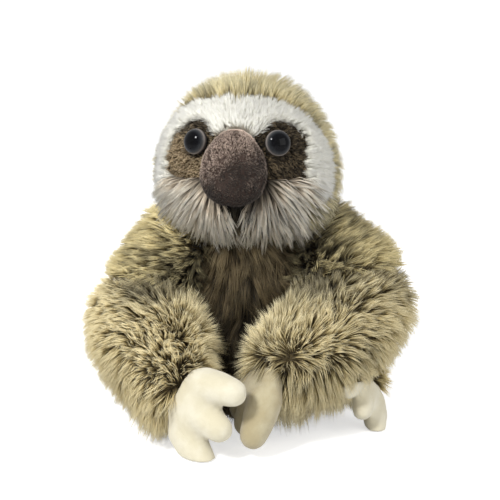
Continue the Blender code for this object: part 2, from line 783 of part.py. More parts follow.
def paw_frame(side, place, pose):
    """X runs along the claws, Y across their spread and Z out of the back of the paw."""
    heading, drop, roll = pose
    ahead = heading_vector(side, heading, drop)
    level = ahead.cross(Vector((0, 0, 1))).normalized()
    spread = Matrix.Rotation(math.radians(roll), 3, ahead) @ level
    rotation = Matrix((ahead, spread, ahead.cross(spread))).transposed().to_4x4()
    return Matrix.Translation(place) @ rotation


def paw_form(frame, share, grow=0.0):
    """A palm and three claws in one piece, joined in the paw's own frame and then placed."""
    across, upright = Vector((0, 1, 0)), Vector((0, 0, 1))
    palm = []
    steps = 2 * CAP_RINGS
    half_length = share * PALM_HALF_LENGTH + grow
    for step in range(steps + 1):
        turn = math.pi * (step / steps - 0.5)
        centre = Vector((share * PALM_REACH + half_length * math.sin(turn), 0, 0))
        if step in (0, steps):
            palm.append([centre])
            continue
        wide = (share * PALM_HALF_SPREAD + grow) * math.cos(turn)
        thick = (share * PALM_HALF_THICKNESS + grow) * math.cos(turn)
        palm.append(ring(centre, across, upright, wide, thick, LIMB_SIDES))
    made = skin("paw_form", palm)
    for place in (-1, 0, 1):
        fan = math.radians(CLAW_FAN * place)
        root = Vector((share * PALM_REACH, place * share * CLAW_SPACING, 0))
        ahead = Vector((math.cos(fan), math.sin(fan), 0))
        tip = root + ahead * (share * CLAW_LENGTH)
        points = [root, between(root, tip, 0.5), tip]
        radii = [share * radius + grow for radius in (CLAW_RADIUS, CLAW_RADIUS, CLAW_TIP_RADIUS)]
        sizes = [(radius, radius) for radius in radii]
        boolean(made, skin("claw", limb_rings(points, sizes, CLAW_SIDES, 0.0, upright)), "UNION")
    made.data.transform(frame)
    return made


def hand_form(side, grow=0.0):
    pose = LEFT_HAND_POSE if side == 1 else RIGHT_HAND_POSE
    return paw_form(paw_frame(side, wrist_place(side), pose), 1.0, grow)


def foot_form(side, grow=0.0):
    pose = LEFT_FOOT_POSE if side == 1 else RIGHT_FOOT_POSE
    return paw_form(paw_frame(side, ankle_place(side), pose), FOOT_SHARE, grow)


def opposite(degrees_range):
    """The range in which a neighbour turns, seen from the piece that moves."""
    low, high = degrees_range
    return -high, -low


def lift_axis(side):
    """Level axis across the forearm. A positive turn about it lifts the hand."""
    return forearm_direction(side).cross(Vector((0, 0, 1))).normalized()


def opening_axis(side):
    """Axis of the shoulder and the elbow. A positive turn takes the arm outwards and up."""
    lean = math.radians(OPENING_LEAN)
    return math.cos(lean) * Vector((0, 0, side)) + math.sin(lean) * lift_axis(side)


def arm_room(side):
    """The room that the forearm needs as the elbow and the shoulder open."""
    bent = swept_hull(forearm_form(side, SEAT_GAP), elbow_place(side), opening_axis(side), ELBOW_RANGE)
    return swept_hull(bent, shoulder_place(side), opening_axis(side), SHOULDER_RANGE)


def floor_block():
    """Everything below the surface that the toy sits on."""
    reach = 2 * TORSO_HEIGHT
    signs = ((-1, -1), (1, -1), (1, 1), (-1, 1))
    top = [Vector((x, y, 0)) * reach for x, y in signs]
    return skin("floor_block", [[corner - Vector((0, 0, reach)) for corner in top], top])


def make_arm(side, word):
    shoulder_point, elbow_point, wrist_point = shoulder_place(side), elbow_place(side), wrist_place(side)
    opening, lifting = opening_axis(side), lift_axis(side)
    shoulder = joint_empty(f"shoulder_{word}", shoulder_point)
    elbow = joint_empty(f"elbow_{word}", elbow_point, shoulder)
    wrist = joint_empty(f"wrist_{word}", wrist_point, elbow)

    def seen_from_arm(form):
        return swept_hull(form, shoulder_point, opening, opposite(SHOULDER_RANGE))

    beside = seen_from_arm(torso_form(SEAT_GAP))
    above = seen_from_arm(turning_head())
    crook = swept_hull(forearm_form(side, SEAT_GAP), elbow_point, opening, ELBOW_RANGE)
    finish(cut(upper_arm_form(side), beside, above, crook), f"upper_arm_{word}", "tan_fur", shoulder)
    behind = swept_hull(seen_from_arm(torso_form(SEAT_GAP)), elbow_point, opening, opposite(ELBOW_RANGE))
    finish(cut(forearm_form(side), behind, floor_block()), f"forearm_{word}", "tan_fur", elbow)
    wrist_range = LEFT_WRIST_RANGE if side == 1 else RIGHT_WRIST_RANGE
    cuff = swept_hull(forearm_form(side, SEAT_GAP), wrist_point, lifting, opposite(wrist_range))
    finish(cut(hand_form(side), cuff, floor_block()), f"hand_{word}", "cream_velour", wrist)


def make_leg(side, word):
    hip = joint_empty(f"hip_{word}", hip_place(side))

    def room_beside(form):
        return swept_hull(form, hip_place(side), Vector((0, 0, side)), opposite(HIP_RANGE))

    leg = cut(leg_form(side), room_beside(torso_form(SEAT_GAP)), room_beside(arm_room(side)), floor_block())
    finish(leg, f"leg_{word}", "tan_fur", hip)
    foot = cut(foot_form(side), leg_form(side, SEAT_GAP), room_beside(arm_room(side)), floor_block())
    finish(foot, f"foot_{word}", "cream_velour", hip)


def stand_on_origin():
    """Shifts the whole toy so that the origin is the middle of its box's base."""
    bpy.context.view_layer.update()
    pieces = [thing for thing in bpy.data.objects if thing.type == "MESH"]
    points = [piece.matrix_world @ vert.co for piece in pieces for vert in piece.data.vertices]
    shift = Vector((middle([point.x for point in points]), middle([point.y for point in points]), 0))
    for thing in bpy.data.objects:
        if thing.parent is None:
            thing.location -= shift


def middle(values):
    return (min(values) + max(values)) / 2


def main():
    clear_scene()
    make_torso()
    for side, word in ((1, "left"), (-1, "right")):
        make_arm(side, word)
        make_leg(side, word)
    make_head(joint_empty("neck", neck_place()))
    stand_on_origin()


main()
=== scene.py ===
"""Dresses the sitting plush sloth: stuffed skins, long and short pile, glossy eyes and velour paws."""

import json
import math

import bmesh
import bpy
import numpy as np
from bpy.props import FloatProperty, FloatVectorProperty, IntProperty
from mathutils import Matrix, Vector
from mathutils.bvhtree import BVHTree
from mathutils.kdtree import KDTree


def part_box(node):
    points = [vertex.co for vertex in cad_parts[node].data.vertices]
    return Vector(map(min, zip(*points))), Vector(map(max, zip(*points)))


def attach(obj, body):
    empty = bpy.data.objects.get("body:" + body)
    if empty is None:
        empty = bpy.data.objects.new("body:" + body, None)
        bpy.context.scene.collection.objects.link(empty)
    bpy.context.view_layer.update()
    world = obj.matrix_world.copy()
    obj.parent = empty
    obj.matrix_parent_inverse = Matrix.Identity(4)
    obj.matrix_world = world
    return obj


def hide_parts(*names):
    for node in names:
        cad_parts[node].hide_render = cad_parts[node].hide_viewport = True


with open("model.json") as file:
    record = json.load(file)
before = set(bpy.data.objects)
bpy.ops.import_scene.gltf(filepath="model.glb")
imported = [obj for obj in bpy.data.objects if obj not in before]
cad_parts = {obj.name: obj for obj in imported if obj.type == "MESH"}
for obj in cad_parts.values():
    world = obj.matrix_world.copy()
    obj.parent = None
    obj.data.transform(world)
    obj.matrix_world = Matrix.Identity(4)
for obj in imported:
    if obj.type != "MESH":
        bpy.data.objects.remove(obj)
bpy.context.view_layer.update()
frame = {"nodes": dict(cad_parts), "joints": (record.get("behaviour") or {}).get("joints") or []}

bl_info = {
    "name": "Plush sloth",
    "version": (1, 0, 0),
    "blender": (4, 5, 0),
    "location": "3D View > Sidebar > Plush sloth",
    "description": "Builds the skins, pile, eyes and paws of a sitting plush sloth",
    "category": "Add Mesh",
}

SIDES = ("left", "right")
PILE_MAP = "OFBake"
UP = np.array((0.0, 0.0, 1.0))
PROBE = Vector((0.36, 0.48, 0.80))
MOST_WALLS = 20
WELD = 1e-6
TINY = 1e-9


# Places read from the packed model

def joint_place(name):
    found = next(joint for joint in frame["joints"] if joint["name"] == name)
    return np.array(found["pos_m"], float)


def node_points(*nodes):
    """All corners of some CAD nodes."""
    return np.concatenate([mesh_points(frame["nodes"][node]) for node in nodes])


def mesh_points(piece, field="co"):
    """The places of a mesh's corners, or their normals."""
    values = np.empty(len(piece.data.vertices) * 3, np.float32)
    piece.data.vertices.foreach_get(field, values)
    return values.reshape(-1, 3).astype(float)


def unit(vectors):
    lengths = np.linalg.norm(vectors, axis=-1, keepdims=True)
    return vectors / np.maximum(lengths, TINY)


def smoothly(values, low, high):
    """0 below low, 1 above high, and a soft step between."""
    share = np.clip((values - low) / (high - low), 0.0, 1.0)
    return share * share * (3 - 2 * share)


def node_tree(node):
    mesh = frame["nodes"][node].data
    mesh.calc_loop_triangles()
    corners = [vertex.co for vertex in mesh.vertices]
    return BVHTree.FromPolygons(corners, [face.vertices for face in mesh.loop_triangles])


def inside(tree, point, reach=0.06):
    """Whether a point lies inside a closed form.

    It does where it is behind its nearest face and an odd count of walls lies ahead of it.
    """
    place, normal, _, _ = tree.find_nearest(point, reach)
    if place is None or (point - place).dot(normal) >= 0:
        return False
    walls = 0
    while walls < MOST_WALLS and (place := tree.ray_cast(point, PROBE)[0]):
        walls += 1
        point = place + PROBE * WELD
    return walls % 2 == 1


def blocked(points, nodes):
    """Which points lie inside any of some CAD nodes."""
    found = np.zeros(len(points), bool)
    vectors = [Vector(point) for point in points]
    for node in nodes:
        tree = node_tree(node)
        low, high = (np.array(corner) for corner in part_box(node))
        near = np.all((points > low) & (points < high), axis=1) & ~found
        for index in np.flatnonzero(near):
            found[index] = inside(tree, vectors[index])
    return found


FACE = node_points("muzzle")
HEAD = node_points("head_cover")
HEAD_CENTRE = (HEAD.min(0) + HEAD.max(0)) / 2
NOSE = FACE[np.argmin(FACE[:, 1])]
FACE_AHEAD = unit((NOSE - HEAD_CENTRE) * (1, 1, 0))
ACROSS = np.cross(UP, FACE_AHEAD)
NECK = joint_place("neck_turn")
EYES = [node_points(f"eye_dome_{side}").mean(0) for side in SIDES]
TORSO_FORM = ["torso_cover", "torso_stuffing"]
HEAD_FORM = ["head_cover", "head_stuffing"]
PANELS = [f"{part}_{side}" for part in ("brow", "eye_patch", "cheek") for side in SIDES]


def to_eye(points):
    """How far points lie from the middle of the nearer eye."""
    return np.min([np.linalg.norm(points - eye, axis=1) for eye in EYES], axis=0)


# Sizes and colours that a user would change

def maker(kind, **limits):
    """A function that makes one kind of property."""
    def make(name, value, description):
        return kind(name=name, description=description, default=value, **{"min": 0, **limits})
    return make


length = maker(FloatProperty, unit="LENGTH", precision=5)
share = maker(FloatProperty, max=4.0)
amount = maker(FloatProperty)
whole = maker(IntProperty, min=1)
colour = maker(FloatVectorProperty, size=3, max=1.0, subtype="COLOR")

COAT_PARTS = (
    ("strands", whole, "How many strands grow"),
    ("reach", length, "Length of a strand"),
    ("width", length, "Width of a strand at its root"),
    ("stand", share, "How far the pile stands out from its cloth"),
    ("lay", share, "How far the pile lies along its comb"),
    ("droop", share, "How far the tips hang"),
    ("lock", whole, "Strands in a lock"),
    ("gather", share, "How far a lock draws its tips together"),
    ("stray", share, "How far locks lean away from their comb"),
    ("vary", share, "How far locks differ in tone"),
    ("steps", whole, "Bends along a strand"),
    ("roots", colour, "Colour at the root"),
    ("middle", colour, "Colour halfway up"),
    ("tips", colour, "Colour at the tip"),
)
BEIGE = ((0.15, 0.105, 0.042), (0.54, 0.43, 0.195), (0.90, 0.77, 0.43))
# What each coat is, then its parts in the order above
COATS = {
    "arm": ("Long beige pile of the forearms",
        21500, 0.019, 0.00048, 0.8, 0.72, 0.25, 8, 0.32, 0.14, 0.1, 2,
        (0.20, 0.142, 0.060), (0.60, 0.49, 0.245), (0.95, 0.84, 0.54)),
    "upper_arm": ("Long beige pile of the upper arms",
        17500, 0.019, 0.0005, 0.78, 0.75, 0.1, 9, 0.4, 0.16, 0.18, 2,
        (0.11, 0.076, 0.030), (0.46, 0.37, 0.165), (0.95, 0.82, 0.46)),
    "body": ("Long beige pile of the back and sides",
        17500, 0.0185, 0.00056, 0.75, 0.75, 0.25, 9, 0.4, 0.18, 0.15, 2, *BEIGE),
    "chest": ("Long dark pile of the chest",
        13000, 0.0205, 0.00048, 0.55, 0.95, 0.3, 12, 0.42, 0.26, 0.16, 2,
        (0.022, 0.015, 0.008), (0.150, 0.110, 0.056), (0.38, 0.30, 0.17)),
    "leg": ("Beige pile of the short legs",
        4500, 0.013, 0.00054, 0.8, 0.6, 0.2, 9, 0.4, 0.2, 0.15, 2, *BEIGE),
    "head": ("Beige pile round and behind the head",
        20500, 0.0165, 0.0004, 1.0, 0.55, 0.1, 7, 0.3, 0.1, 0.18, 2,
        (0.16, 0.115, 0.048), (0.64, 0.53, 0.265), (0.98, 0.89, 0.58)),
    "band": ("Short white pile of the band over the face",
        14000, 0.007, 0.00032, 0.95, 0.75, 0.0, 7, 0.22, 0.13, 0.07, 2,
        (0.90, 0.86, 0.74), (0.95, 0.93, 0.83), (0.98, 0.97, 0.91)),
    "patch": ("Short brown pile round the eyes",
        5400, 0.003, 0.00036, 0.85, 0.65, 0.0, 5, 0.3, 0.3, 0.12, 1,
        (0.010, 0.006, 0.003), (0.17, 0.115, 0.056), (0.82, 0.64, 0.40)),
    "cheek": ("Long frosted pile of the cheeks",
        7200, 0.019, 0.00048, 0.5, 1.0, 0.2, 16, 0.84, 0.15, 0.12, 2,
        (0.014, 0.009, 0.006), (0.60, 0.505, 0.385), (1.0, 0.96, 0.85)),
    "edge": ("Long white pile that carries the band on round the cheeks",
        5200, 0.015, 0.0004, 0.7, 0.9, 0.15, 9, 0.4, 0.15, 0.1, 2,
        (0.62, 0.56, 0.44), (0.93, 0.90, 0.80), (0.99, 0.98, 0.93)),
    # The chin coat's dark colours are painted shadow under the muzzle
    "chin": ("Dark pile under the muzzle",
        1800, 0.0125, 0.0005, 0.5, 0.9, 0.3, 14, 0.5, 0.28, 0.15, 2,
        (0.006, 0.004, 0.003), (0.055, 0.042, 0.022), (0.20, 0.16, 0.09)),
    "muzzle": ("Clipped pile of the muzzle",
        22000, 0.0016, 0.00042, 0.6, 0.85, 0.0, 5, 0.25, 0.34, 0.07, 1,
        (0.036, 0.025, 0.020), (0.27, 0.192, 0.150), (0.92, 0.74, 0.61)),
}


def coat_group(name, about, *values):
    """The PropertyGroup of one coat."""
    rows = zip(COAT_PARTS, values)
    parts = {key: kind(key.capitalize(), value, text) for (key, kind, text), value in rows}
    made = name.title().replace("_", "") + "Coat"
    return type(made, (bpy.types.PropertyGroup,), {"__doc__": about, "__annotations__": parts})


class FormSizes(bpy.types.PropertyGroup):
    """How the stuffed forms are drawn in and filled."""
    pile_depth: length("Pile depth", 0.0012, "How far a furred skin lies under its CAD surface")
    pad_depth: length("Pad depth", 0.0010, "How far a face panel's cloth lies under its CAD surface")
    pad_spread: length("Pad spread", 0.0009, "How far a face panel's edges close its seams")
    body_voxel: length("Body voxel", 0.0035, "Cell of the remesh of the body and limbs")
    pad_voxel: length("Pad voxel", 0.0012, "Cell of the remesh of the face panels")
    paw_voxel: length("Paw voxel", 0.0022, "Cell of the remesh of the paws")
    puff: length("Puff", 0.0022, "How far the filling may swell a form")
    pressure: amount("Pressure", 4.0, "Pressure of the filling")


class EyeSizes(bpy.types.PropertyGroup):
    """Parts of a glossy eye."""
    pupil: share("Pupil", 0.62, "Share of the dome's radius that the pupil takes")
    # The pale rim is a painted reflection in the clear plastic's edge
    rim: share("Rim", 0.91, "Share of the dome's radius at which the pale rim starts")


class StageSizes(bpy.types.PropertyGroup):
    """Camera, floor and light."""
    distance: length("Distance", 0.9, "From the camera to the middle of the picture")
    elevation: amount("Elevation", 12.0, "Camera's height in degrees")
    lens: amount("Lens", 90.0, "Focal length in millimetres")
    target: FloatVectorProperty(
        name="Target", description="Middle of the picture", size=3, unit="LENGTH",
        default=(0.00039, 0.02328, 0.122),
    )
    key: amount("Key", 20.0, "Power of the key light in watts")
    fill: amount("Fill", 6.0, "Power of the fill light in watts")
    air: share("Air", 0.66, "Strength of the light from all round")


# Shader sums

class Socket:
    """A shader value that takes part in sums. Each sum adds its Math node."""

    def __init__(self, sheet, socket):
        self.sheet = sheet
        self.socket = socket

    def sum(self, operation, *values):
        return self.sheet.node("ShaderNodeMath", {"operation": operation}, values)

    def __add__(self, other):
        return self.sum("ADD", self, other)

    def __mul__(self, other):
        return self.sum("MULTIPLY", self, other)

    def __truediv__(self, other):
        return self.sum("DIVIDE", self, other)

    def __rtruediv__(self, other):
        return self.sum("DIVIDE", other, self)

    __radd__ = __add__
    __rmul__ = __mul__

    def clamp(self):
        return self.sheet.node("ShaderNodeClamp", {}, [self])

    def step(self, low, high):
        """0 below low, 1 above high, with a soft step between."""
        values = {"Value": self, "From Min": low, "From Max": high}
        return self.sheet.node("ShaderNodeMapRange", {"interpolation_type": "SMOOTHSTEP"}, values)

    def twin(self, output):
        """Another output of the node that gives this value."""
        return Socket(self.sheet, self.socket.node.outputs[output])


class Sheet:
    """A tree of shader nodes in the making."""

    def __init__(self, tree):
        self.tree = tree

    def put(self, socket, value):
        if isinstance(value, Socket):
            self.tree.links.new(value.socket, socket)
        elif isinstance(value, (tuple, list)) and len(socket.default_value) == 4:
            socket.default_value = (*value[:3], 1.0)
        else:
            socket.default_value = value

    def node(self, kind, settings, inputs, output=0):
        """Adds a node. Its settings come first, a ramp's stops among them, then its sockets."""
        made = self.tree.nodes.new(kind)
        for name, value in settings.items():
            if name == "stops":
                self.set_stops(made.color_ramp.elements, value)
            else:
                setattr(made, name, value)
        pairs = inputs.items() if isinstance(inputs, dict) else enumerate(inputs)
        for key, value in pairs:
            self.put(made.inputs[key], value)
        return Socket(self, made.outputs[output])

    def set_stops(self, points, stops):
        while len(points) < len(stops):
            points.new(1.0)
        for point, (place, value) in zip(points, stops):
            point.position = place
            point.color = (*value, 1.0)

    def mix(self, factor, first, second, how="MIX"):
        settings = {"data_type": "RGBA", "blend_type": how}
        return self.node("ShaderNodeMix", settings, {0: factor, 6: first, 7: second}, 2)

    def ramp(self, factor, stops):
        return self.node("ShaderNodeValToRGB", {"stops": stops}, [factor])


class Finish(Sheet):
    """A material in the making."""

    def __init__(self, name):
        self.material = bpy.data.materials.new(name)
        self.material.use_nodes = True
        super().__init__(self.material.node_tree)
        self.shader = self.tree.nodes["Principled BSDF"]

    def place(self):
        """Coordinates of the object, in metres."""
        return self.node("ShaderNodeTexCoord", {}, [], "Object")

    def noise(self, scale, detail):
        values = {"Vector": self.place(), "Scale": scale, "Detail": detail}
        return self.node("ShaderNodeTexNoise", {}, values)

    def bump(self, height, depth):
        made = self.node("ShaderNodeBump", {}, {"Height": height, "Distance": depth, "Strength": 1.0})
        self.put(self.shader.inputs["Normal"], made)

    def set(self, **values):
        for name, value in values.items():
            self.put(self.shader.inputs[name.replace("_", " ")], value)
        return self.material


def shaded(base, share):
    """A colour made darker, or lighter with a share above 1."""
    return tuple(value * share for value in base)


def pile_finish(name, kind, dark=0.35):
    """Strand colour from its own map: across it the strand's tone, up it the way to the tip."""
    made = Finish(name)
    where = made.node("ShaderNodeUVMap", {"uv_map": PILE_MAP}, [])
    tone = made.node("ShaderNodeSeparateXYZ", {}, [where])
    along = made.ramp(tone.twin(1), ((0.0, kind.roots), (0.42, kind.middle), (0.92, kind.tips)))
    shade = made.ramp(tone, ((0.0, (dark,) * 3), (0.55, (0.85,) * 3), (1.0, (1.0,) * 3)))
    base = made.mix(1.0, along, shade, "MULTIPLY")
    made.set(Base_Color=base, Roughness=0.72, Specular_IOR_Level=0.2)
    return made.set(Sheen_Weight=0.04, Sheen_Roughness=0.5)


def cloth_finish(name, base):
    """The woven ground that pile grows from."""
    made = Finish(name)
    speck = made.noise(900.0, 2.0)
    patch = made.noise(60.0, 3.0)
    shade = made.mix(patch.step(0.3, 0.7), base, shaded(base, 0.6))
    made.bump(speck, 0.00025)
    return made.set(Base_Color=shade, Roughness=0.95, Specular_IOR_Level=0.1)


def velour_finish(name, base, worn):
    """Clipped velour: a fine nap, brushed in soft patches."""
    made = Finish(name)
    nap = made.noise(2600.0, 2.0)
    brushed = made.noise(70.0, 4.0)
    tint = made.mix(brushed.step(0.35, 0.68), base, worn)
    tint = made.mix(nap.step(0.2, 0.8) * 0.35, tint, shaded(base, 0.82))
    made.bump(nap * 0.7 + made.noise(420.0, 3.0) * 0.9, 0.0004)
    return made.set(
        Base_Color=tint, Roughness=0.9, Specular_IOR_Level=0.15, Sheen_Weight=0.35, Sheen_Roughness=0.6
    )


def dome_finish(name, centre, axis, radius, sizes):
    """A printed eye under clear plastic: black pupil, slate ring and a pale edge."""
    made = Finish(name)
    off = made.node("ShaderNodeVectorMath", {"operation": "SUBTRACT"}, [made.place(), tuple(centre)])
    across = made.node("ShaderNodeVectorMath", {"operation": "CROSS_PRODUCT"}, [off, tuple(axis)])
    far = made.node("ShaderNodeVectorMath", {"operation": "LENGTH"}, [across], "Value") / radius
    stops = (
        (0.0, (0.001, 0.001, 0.001)),
        (sizes.pupil, (0.001, 0.001, 0.002)),
        (sizes.pupil + 0.12, (0.010, 0.011, 0.013)),
        (sizes.rim - 0.06, (0.030, 0.031, 0.033)),
        # From the rim out: painted reflection in the clear plastic's edge
        (sizes.rim, (0.075, 0.070, 0.068)),
        (0.96, (0.19, 0.17, 0.155)),
        (1.0, (0.08, 0.07, 0.065)),
    )
    base = made.ramp(far, stops)
    speck = made.noise(900.0, 2.0)
    base = made.mix(speck.step(0.45, 0.75) * 0.05, base, (0.06, 0.065, 0.075))
    return made.set(Base_Color=base, Roughness=0.06, Specular_IOR_Level=0.10, IOR=1.45)


def mottled_finish(name, base, scale, detail, depth, full, other, rough):
    """A colour in two tones over a slightly uneven surface."""
    made = Finish(name)
    mottle = made.noise(scale, detail)
    made.bump(mottle, depth)
    return made.set(Base_Color=made.mix(mottle.step(0.3, full), base, shaded(base, other)), Roughness=rough)


# Modelling helpers

# Backing cloth under the beige pile. It is dark partly as its own colour and partly as painted shade where
# it shows between the locks
BEIGE_GROUND_AND_SHADE = (0.085, 0.064, 0.031)


def choose(piece):
    """Makes one piece the only one selected, and the active one."""
    bpy.ops.object.select_all(action="DESELECT")
    piece.select_set(True)
    bpy.context.view_layer.objects.active = piece


def edit(operator, **settings):
    """Runs a mesh operator on all of the active piece."""
    bpy.ops.object.mode_set(mode="EDIT")
    bpy.ops.mesh.select_all(action="SELECT")
    operator(**settings)
    bpy.ops.object.mode_set(mode="OBJECT")


def linked(name, data):
    """A new object in the scene."""
    made = bpy.data.objects.new(name, data)
    bpy.context.scene.collection.objects.link(made)
    return made


def copy_of(name, *nodes):
    """A merged copy of some CAD nodes as one object."""
    shape = bmesh.new()
    for node in nodes:
        shape.from_mesh(frame["nodes"][node].data)
    bmesh.ops.remove_doubles(shape, verts=shape.verts, dist=WELD)
    mesh = bpy.data.meshes.new(name)
    shape.to_mesh(mesh)
    shape.free()
    made = linked(name, mesh)
    choose(made)
    return made


def remesh(piece, voxel, passes):
    """Even faces all over, with the facets rounded off."""
    choose(piece)
    piece.data.remesh_voxel_size = voxel
    bpy.ops.object.voxel_remesh()
    edit(bpy.ops.mesh.vertices_smooth, factor=0.5, repeat=passes)
    keep_outer(piece)
    return piece


def keep_outer(piece):
    """Drops what a remesh left inside the main body."""
    shape = bmesh.new()
    shape.from_mesh(piece.data)
    waiting, bodies = set(shape.verts), []
    while waiting:
        body, edge = set(), [waiting.pop()]
        while edge:
            vert = edge.pop()
            body.add(vert)
            joined = {link.other_vert(vert) for link in vert.link_edges} & waiting
            waiting -= joined
            edge.extend(joined)
        bodies.append(body)
    largest = max(bodies, key=len)
    bmesh.ops.delete(shape, geom=[vert for vert in shape.verts if vert not in largest], context="VERTS")
    shape.to_mesh(piece.data)
    shape.free()


def move_points(piece, points):
    piece.data.vertices.foreach_set("co", points.astype(np.float32).ravel())
    piece.data.update()


def draw_in(piece, depth):
    """Moves a skin inwards, under its pile."""
    move_points(piece, mesh_points(piece) - mesh_points(piece, "normal") * depth)
    return piece


def settle(pad, depth, spread):
    """Lowers a face panel's cloth and lets its edges meet their neighbours."""
    points, normals = mesh_points(pad), mesh_points(pad, "normal")
    out = unit(points - HEAD_CENTRE)
    rise = (normals * out).sum(1, keepdims=True)
    move_points(pad, points - out * depth * (rise > 0.3) + (normals - out * rise) * spread)
    return pad


FILL_FRAMES = 20


def puff(piece, sizes, cap):
    """Fills a closed skin: cloth under pressure, each point held within a cap of where it began."""
    start = mesh_points(piece)
    choose(piece)
    scene = bpy.context.scene
    scene.frame_set(1)
    cloth = piece.modifiers.new("Filling", "CLOTH")
    cloth.settings.use_pressure = True
    cloth.settings.uniform_pressure_force = sizes.pressure
    cloth.settings.effector_weights.gravity = 0.0
    cloth.settings.quality = 4
    cloth.settings.time_scale = 0.8
    for step in range(1, FILL_FRAMES + 1):
        scene.frame_set(step)
    bpy.ops.object.modifier_apply(modifier="Filling")
    scene.frame_set(1)
    moved = mesh_points(piece) - start
    travel = np.linalg.norm(moved, axis=1, keepdims=True)
    move_points(piece, start + moved * np.minimum(1.0, cap / np.maximum(travel, TINY)))
    return piece


def subdivide(piece):
    choose(piece)
    piece.modifiers.new("Smooth", "SUBSURF").levels = 1
    bpy.ops.object.modifier_apply(modifier="Smooth")


def finished(piece, material, body, slot):
    """Colours a piece, names its slot and hangs it on its body."""
    piece.data.materials.clear()
    piece.data.materials.append(material)
    piece.data.polygons.foreach_set("use_smooth", np.ones(len(piece.data.polygons), bool))
    piece.data.update()
    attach(piece, body)
    return piece


def stuffed(name, nodes, sizes, body, slot):
    """A furred form's skin: drawn in under the pile, then filled."""
    ground = cloth_finish(f"{name.removesuffix('_skin')}_ground", BEIGE_GROUND_AND_SHADE)
    skin = remesh(copy_of(name, *nodes), sizes.body_voxel, 6)
    draw_in(skin, sizes.pile_depth + sizes.puff / 2)
    puff(skin, sizes, sizes.puff)
    finished(skin, ground, body, slot)
    return skin


# Pile

LOCKS_IN_TUFT = 8
LOCK_LENGTHS = (0.82, 1.12)
STRAND_LENGTHS = (0.78, 1.08)
STRAND_WIDTHS = (0.7, 1.25)
BEND = 0.35
FLOOR_GAP = 0.0006


def scatter(random, skin, count, weigh=None):
    """Roots spread evenly over a skin, and the skin's normals there."""
    mesh = skin.data
    mesh.calc_loop_triangles()
    corners = np.empty(len(mesh.loop_triangles) * 3, np.int32)
    mesh.loop_triangles.foreach_get("vertices", corners)
    corners = corners.reshape(-1, 3)
    points, normals = mesh_points(skin), mesh_points(skin, "normal")
    first, second, third = (points[corners[:, index]] for index in range(3))
    area = np.linalg.norm(np.cross(second - first, third - first), axis=1)
    if weigh is not None:
        area = area * weigh((first + second + third) / 3, unit(normals[corners].sum(1)))
    reach = np.cumsum(area)
    picks = np.searchsorted(reach, (np.arange(count) + random.random(count)) / count * reach[-1])
    picks = np.minimum(picks, len(corners) - 1)
    one, two = random.random((2, count))
    folded = one + two > 1
    one, two = np.where(folded, 1 - one, one)[:, None], np.where(folded, 1 - two, two)[:, None]
    parts = (1 - one - two, one, two)
    roots = sum(part * points[corners[picks, index]] for index, part in enumerate(parts))
    out = sum(part * normals[corners[picks, index]] for index, part in enumerate(parts))
    return roots, unit(out)


def nearest_lock(roots, centres):
    tree = KDTree(len(centres))
    for index, centre in enumerate(centres):
        tree.insert(centre, index)
    tree.balance()
    return np.array([tree.find(root)[1] for root in roots])


def strand_paths(roots, out, comb, reach, lean, kind, levels):
    """Points along strands that rise from their roots, lean with their comb and hang at the tip."""
    ahead = unit(out * kind.stand + comb * kind.lay + lean)
    bend = comb * BEND - UP * kind.droop
    share_up = levels[None, :, None]
    rise = reach[:, None, None] * (ahead[:, None] * share_up + bend[:, None] * share_up ** 2 * 0.5)
    return roots[:, None] + rise


def grow(name, skin, kind, field, seed, weigh=None, clear=(), lift=0.004, part=1.0):
    """A coat of closed, tapering strands, gathered in locks, and the locks in tufts.

    field gives the comb, the share of the length and the tone at each root. Roots that the
    nodes in clear would cover are left out.
    """
    random = np.random.default_rng(seed)
    roots, out = scatter(random, skin, int(kind.strands * part), weigh)
    if clear:
        free = ~(blocked(roots + out * lift, clear) | blocked(roots + out * lift / 2, clear))
        roots, out = roots[free], out[free]
    comb, share_long, tone = field(roots, out)
    count = len(roots)
    heads = random.permutation(count)[: max(count // kind.lock, 1)]
    home = heads[nearest_lock(roots, roots[heads])]
    crowns = heads[: max(len(heads) // LOCKS_IN_TUFT, 1)]
    tuft = crowns[nearest_lock(roots, roots[crowns])][home]
    wild = random.normal(size=(count, 3))
    lock_long = random.uniform(*LOCK_LENGTHS, count)
    lock_tone = random.normal(size=count)
    reach = kind.reach * share_long * lock_long[home] * random.uniform(*STRAND_LENGTHS, count)
    lean = kind.stray * (wild[tuft] + 0.75 * wild[home] + 0.45 * wild)
    levels = np.linspace(0.0, 1.0, kind.steps + 1)
    paths = strand_paths(roots, out, comb, reach, lean, kind, levels)
    lead_reach = kind.reach * share_long * lock_long
    lead_lean = kind.stray * (wild[tuft] + wild)
    lead = strand_paths(roots, out, comb, lead_reach, lead_lean, kind, levels)
    gather = kind.gather * levels[None, :, None] ** 0.8
    paths = paths + (lead[home] - paths) * gather
    paths[..., 2] = np.maximum(paths[..., 2], FLOOR_GAP)
    shift = kind.vary * (0.7 * lock_tone[tuft] + 0.8 * lock_tone[home]) + 0.13 * random.normal(size=count)
    tones = np.clip(tone + shift, 0.02, 0.98)
    width = kind.width * random.uniform(*STRAND_WIDTHS, count)
    return spikes(name, paths, width, tones, random)


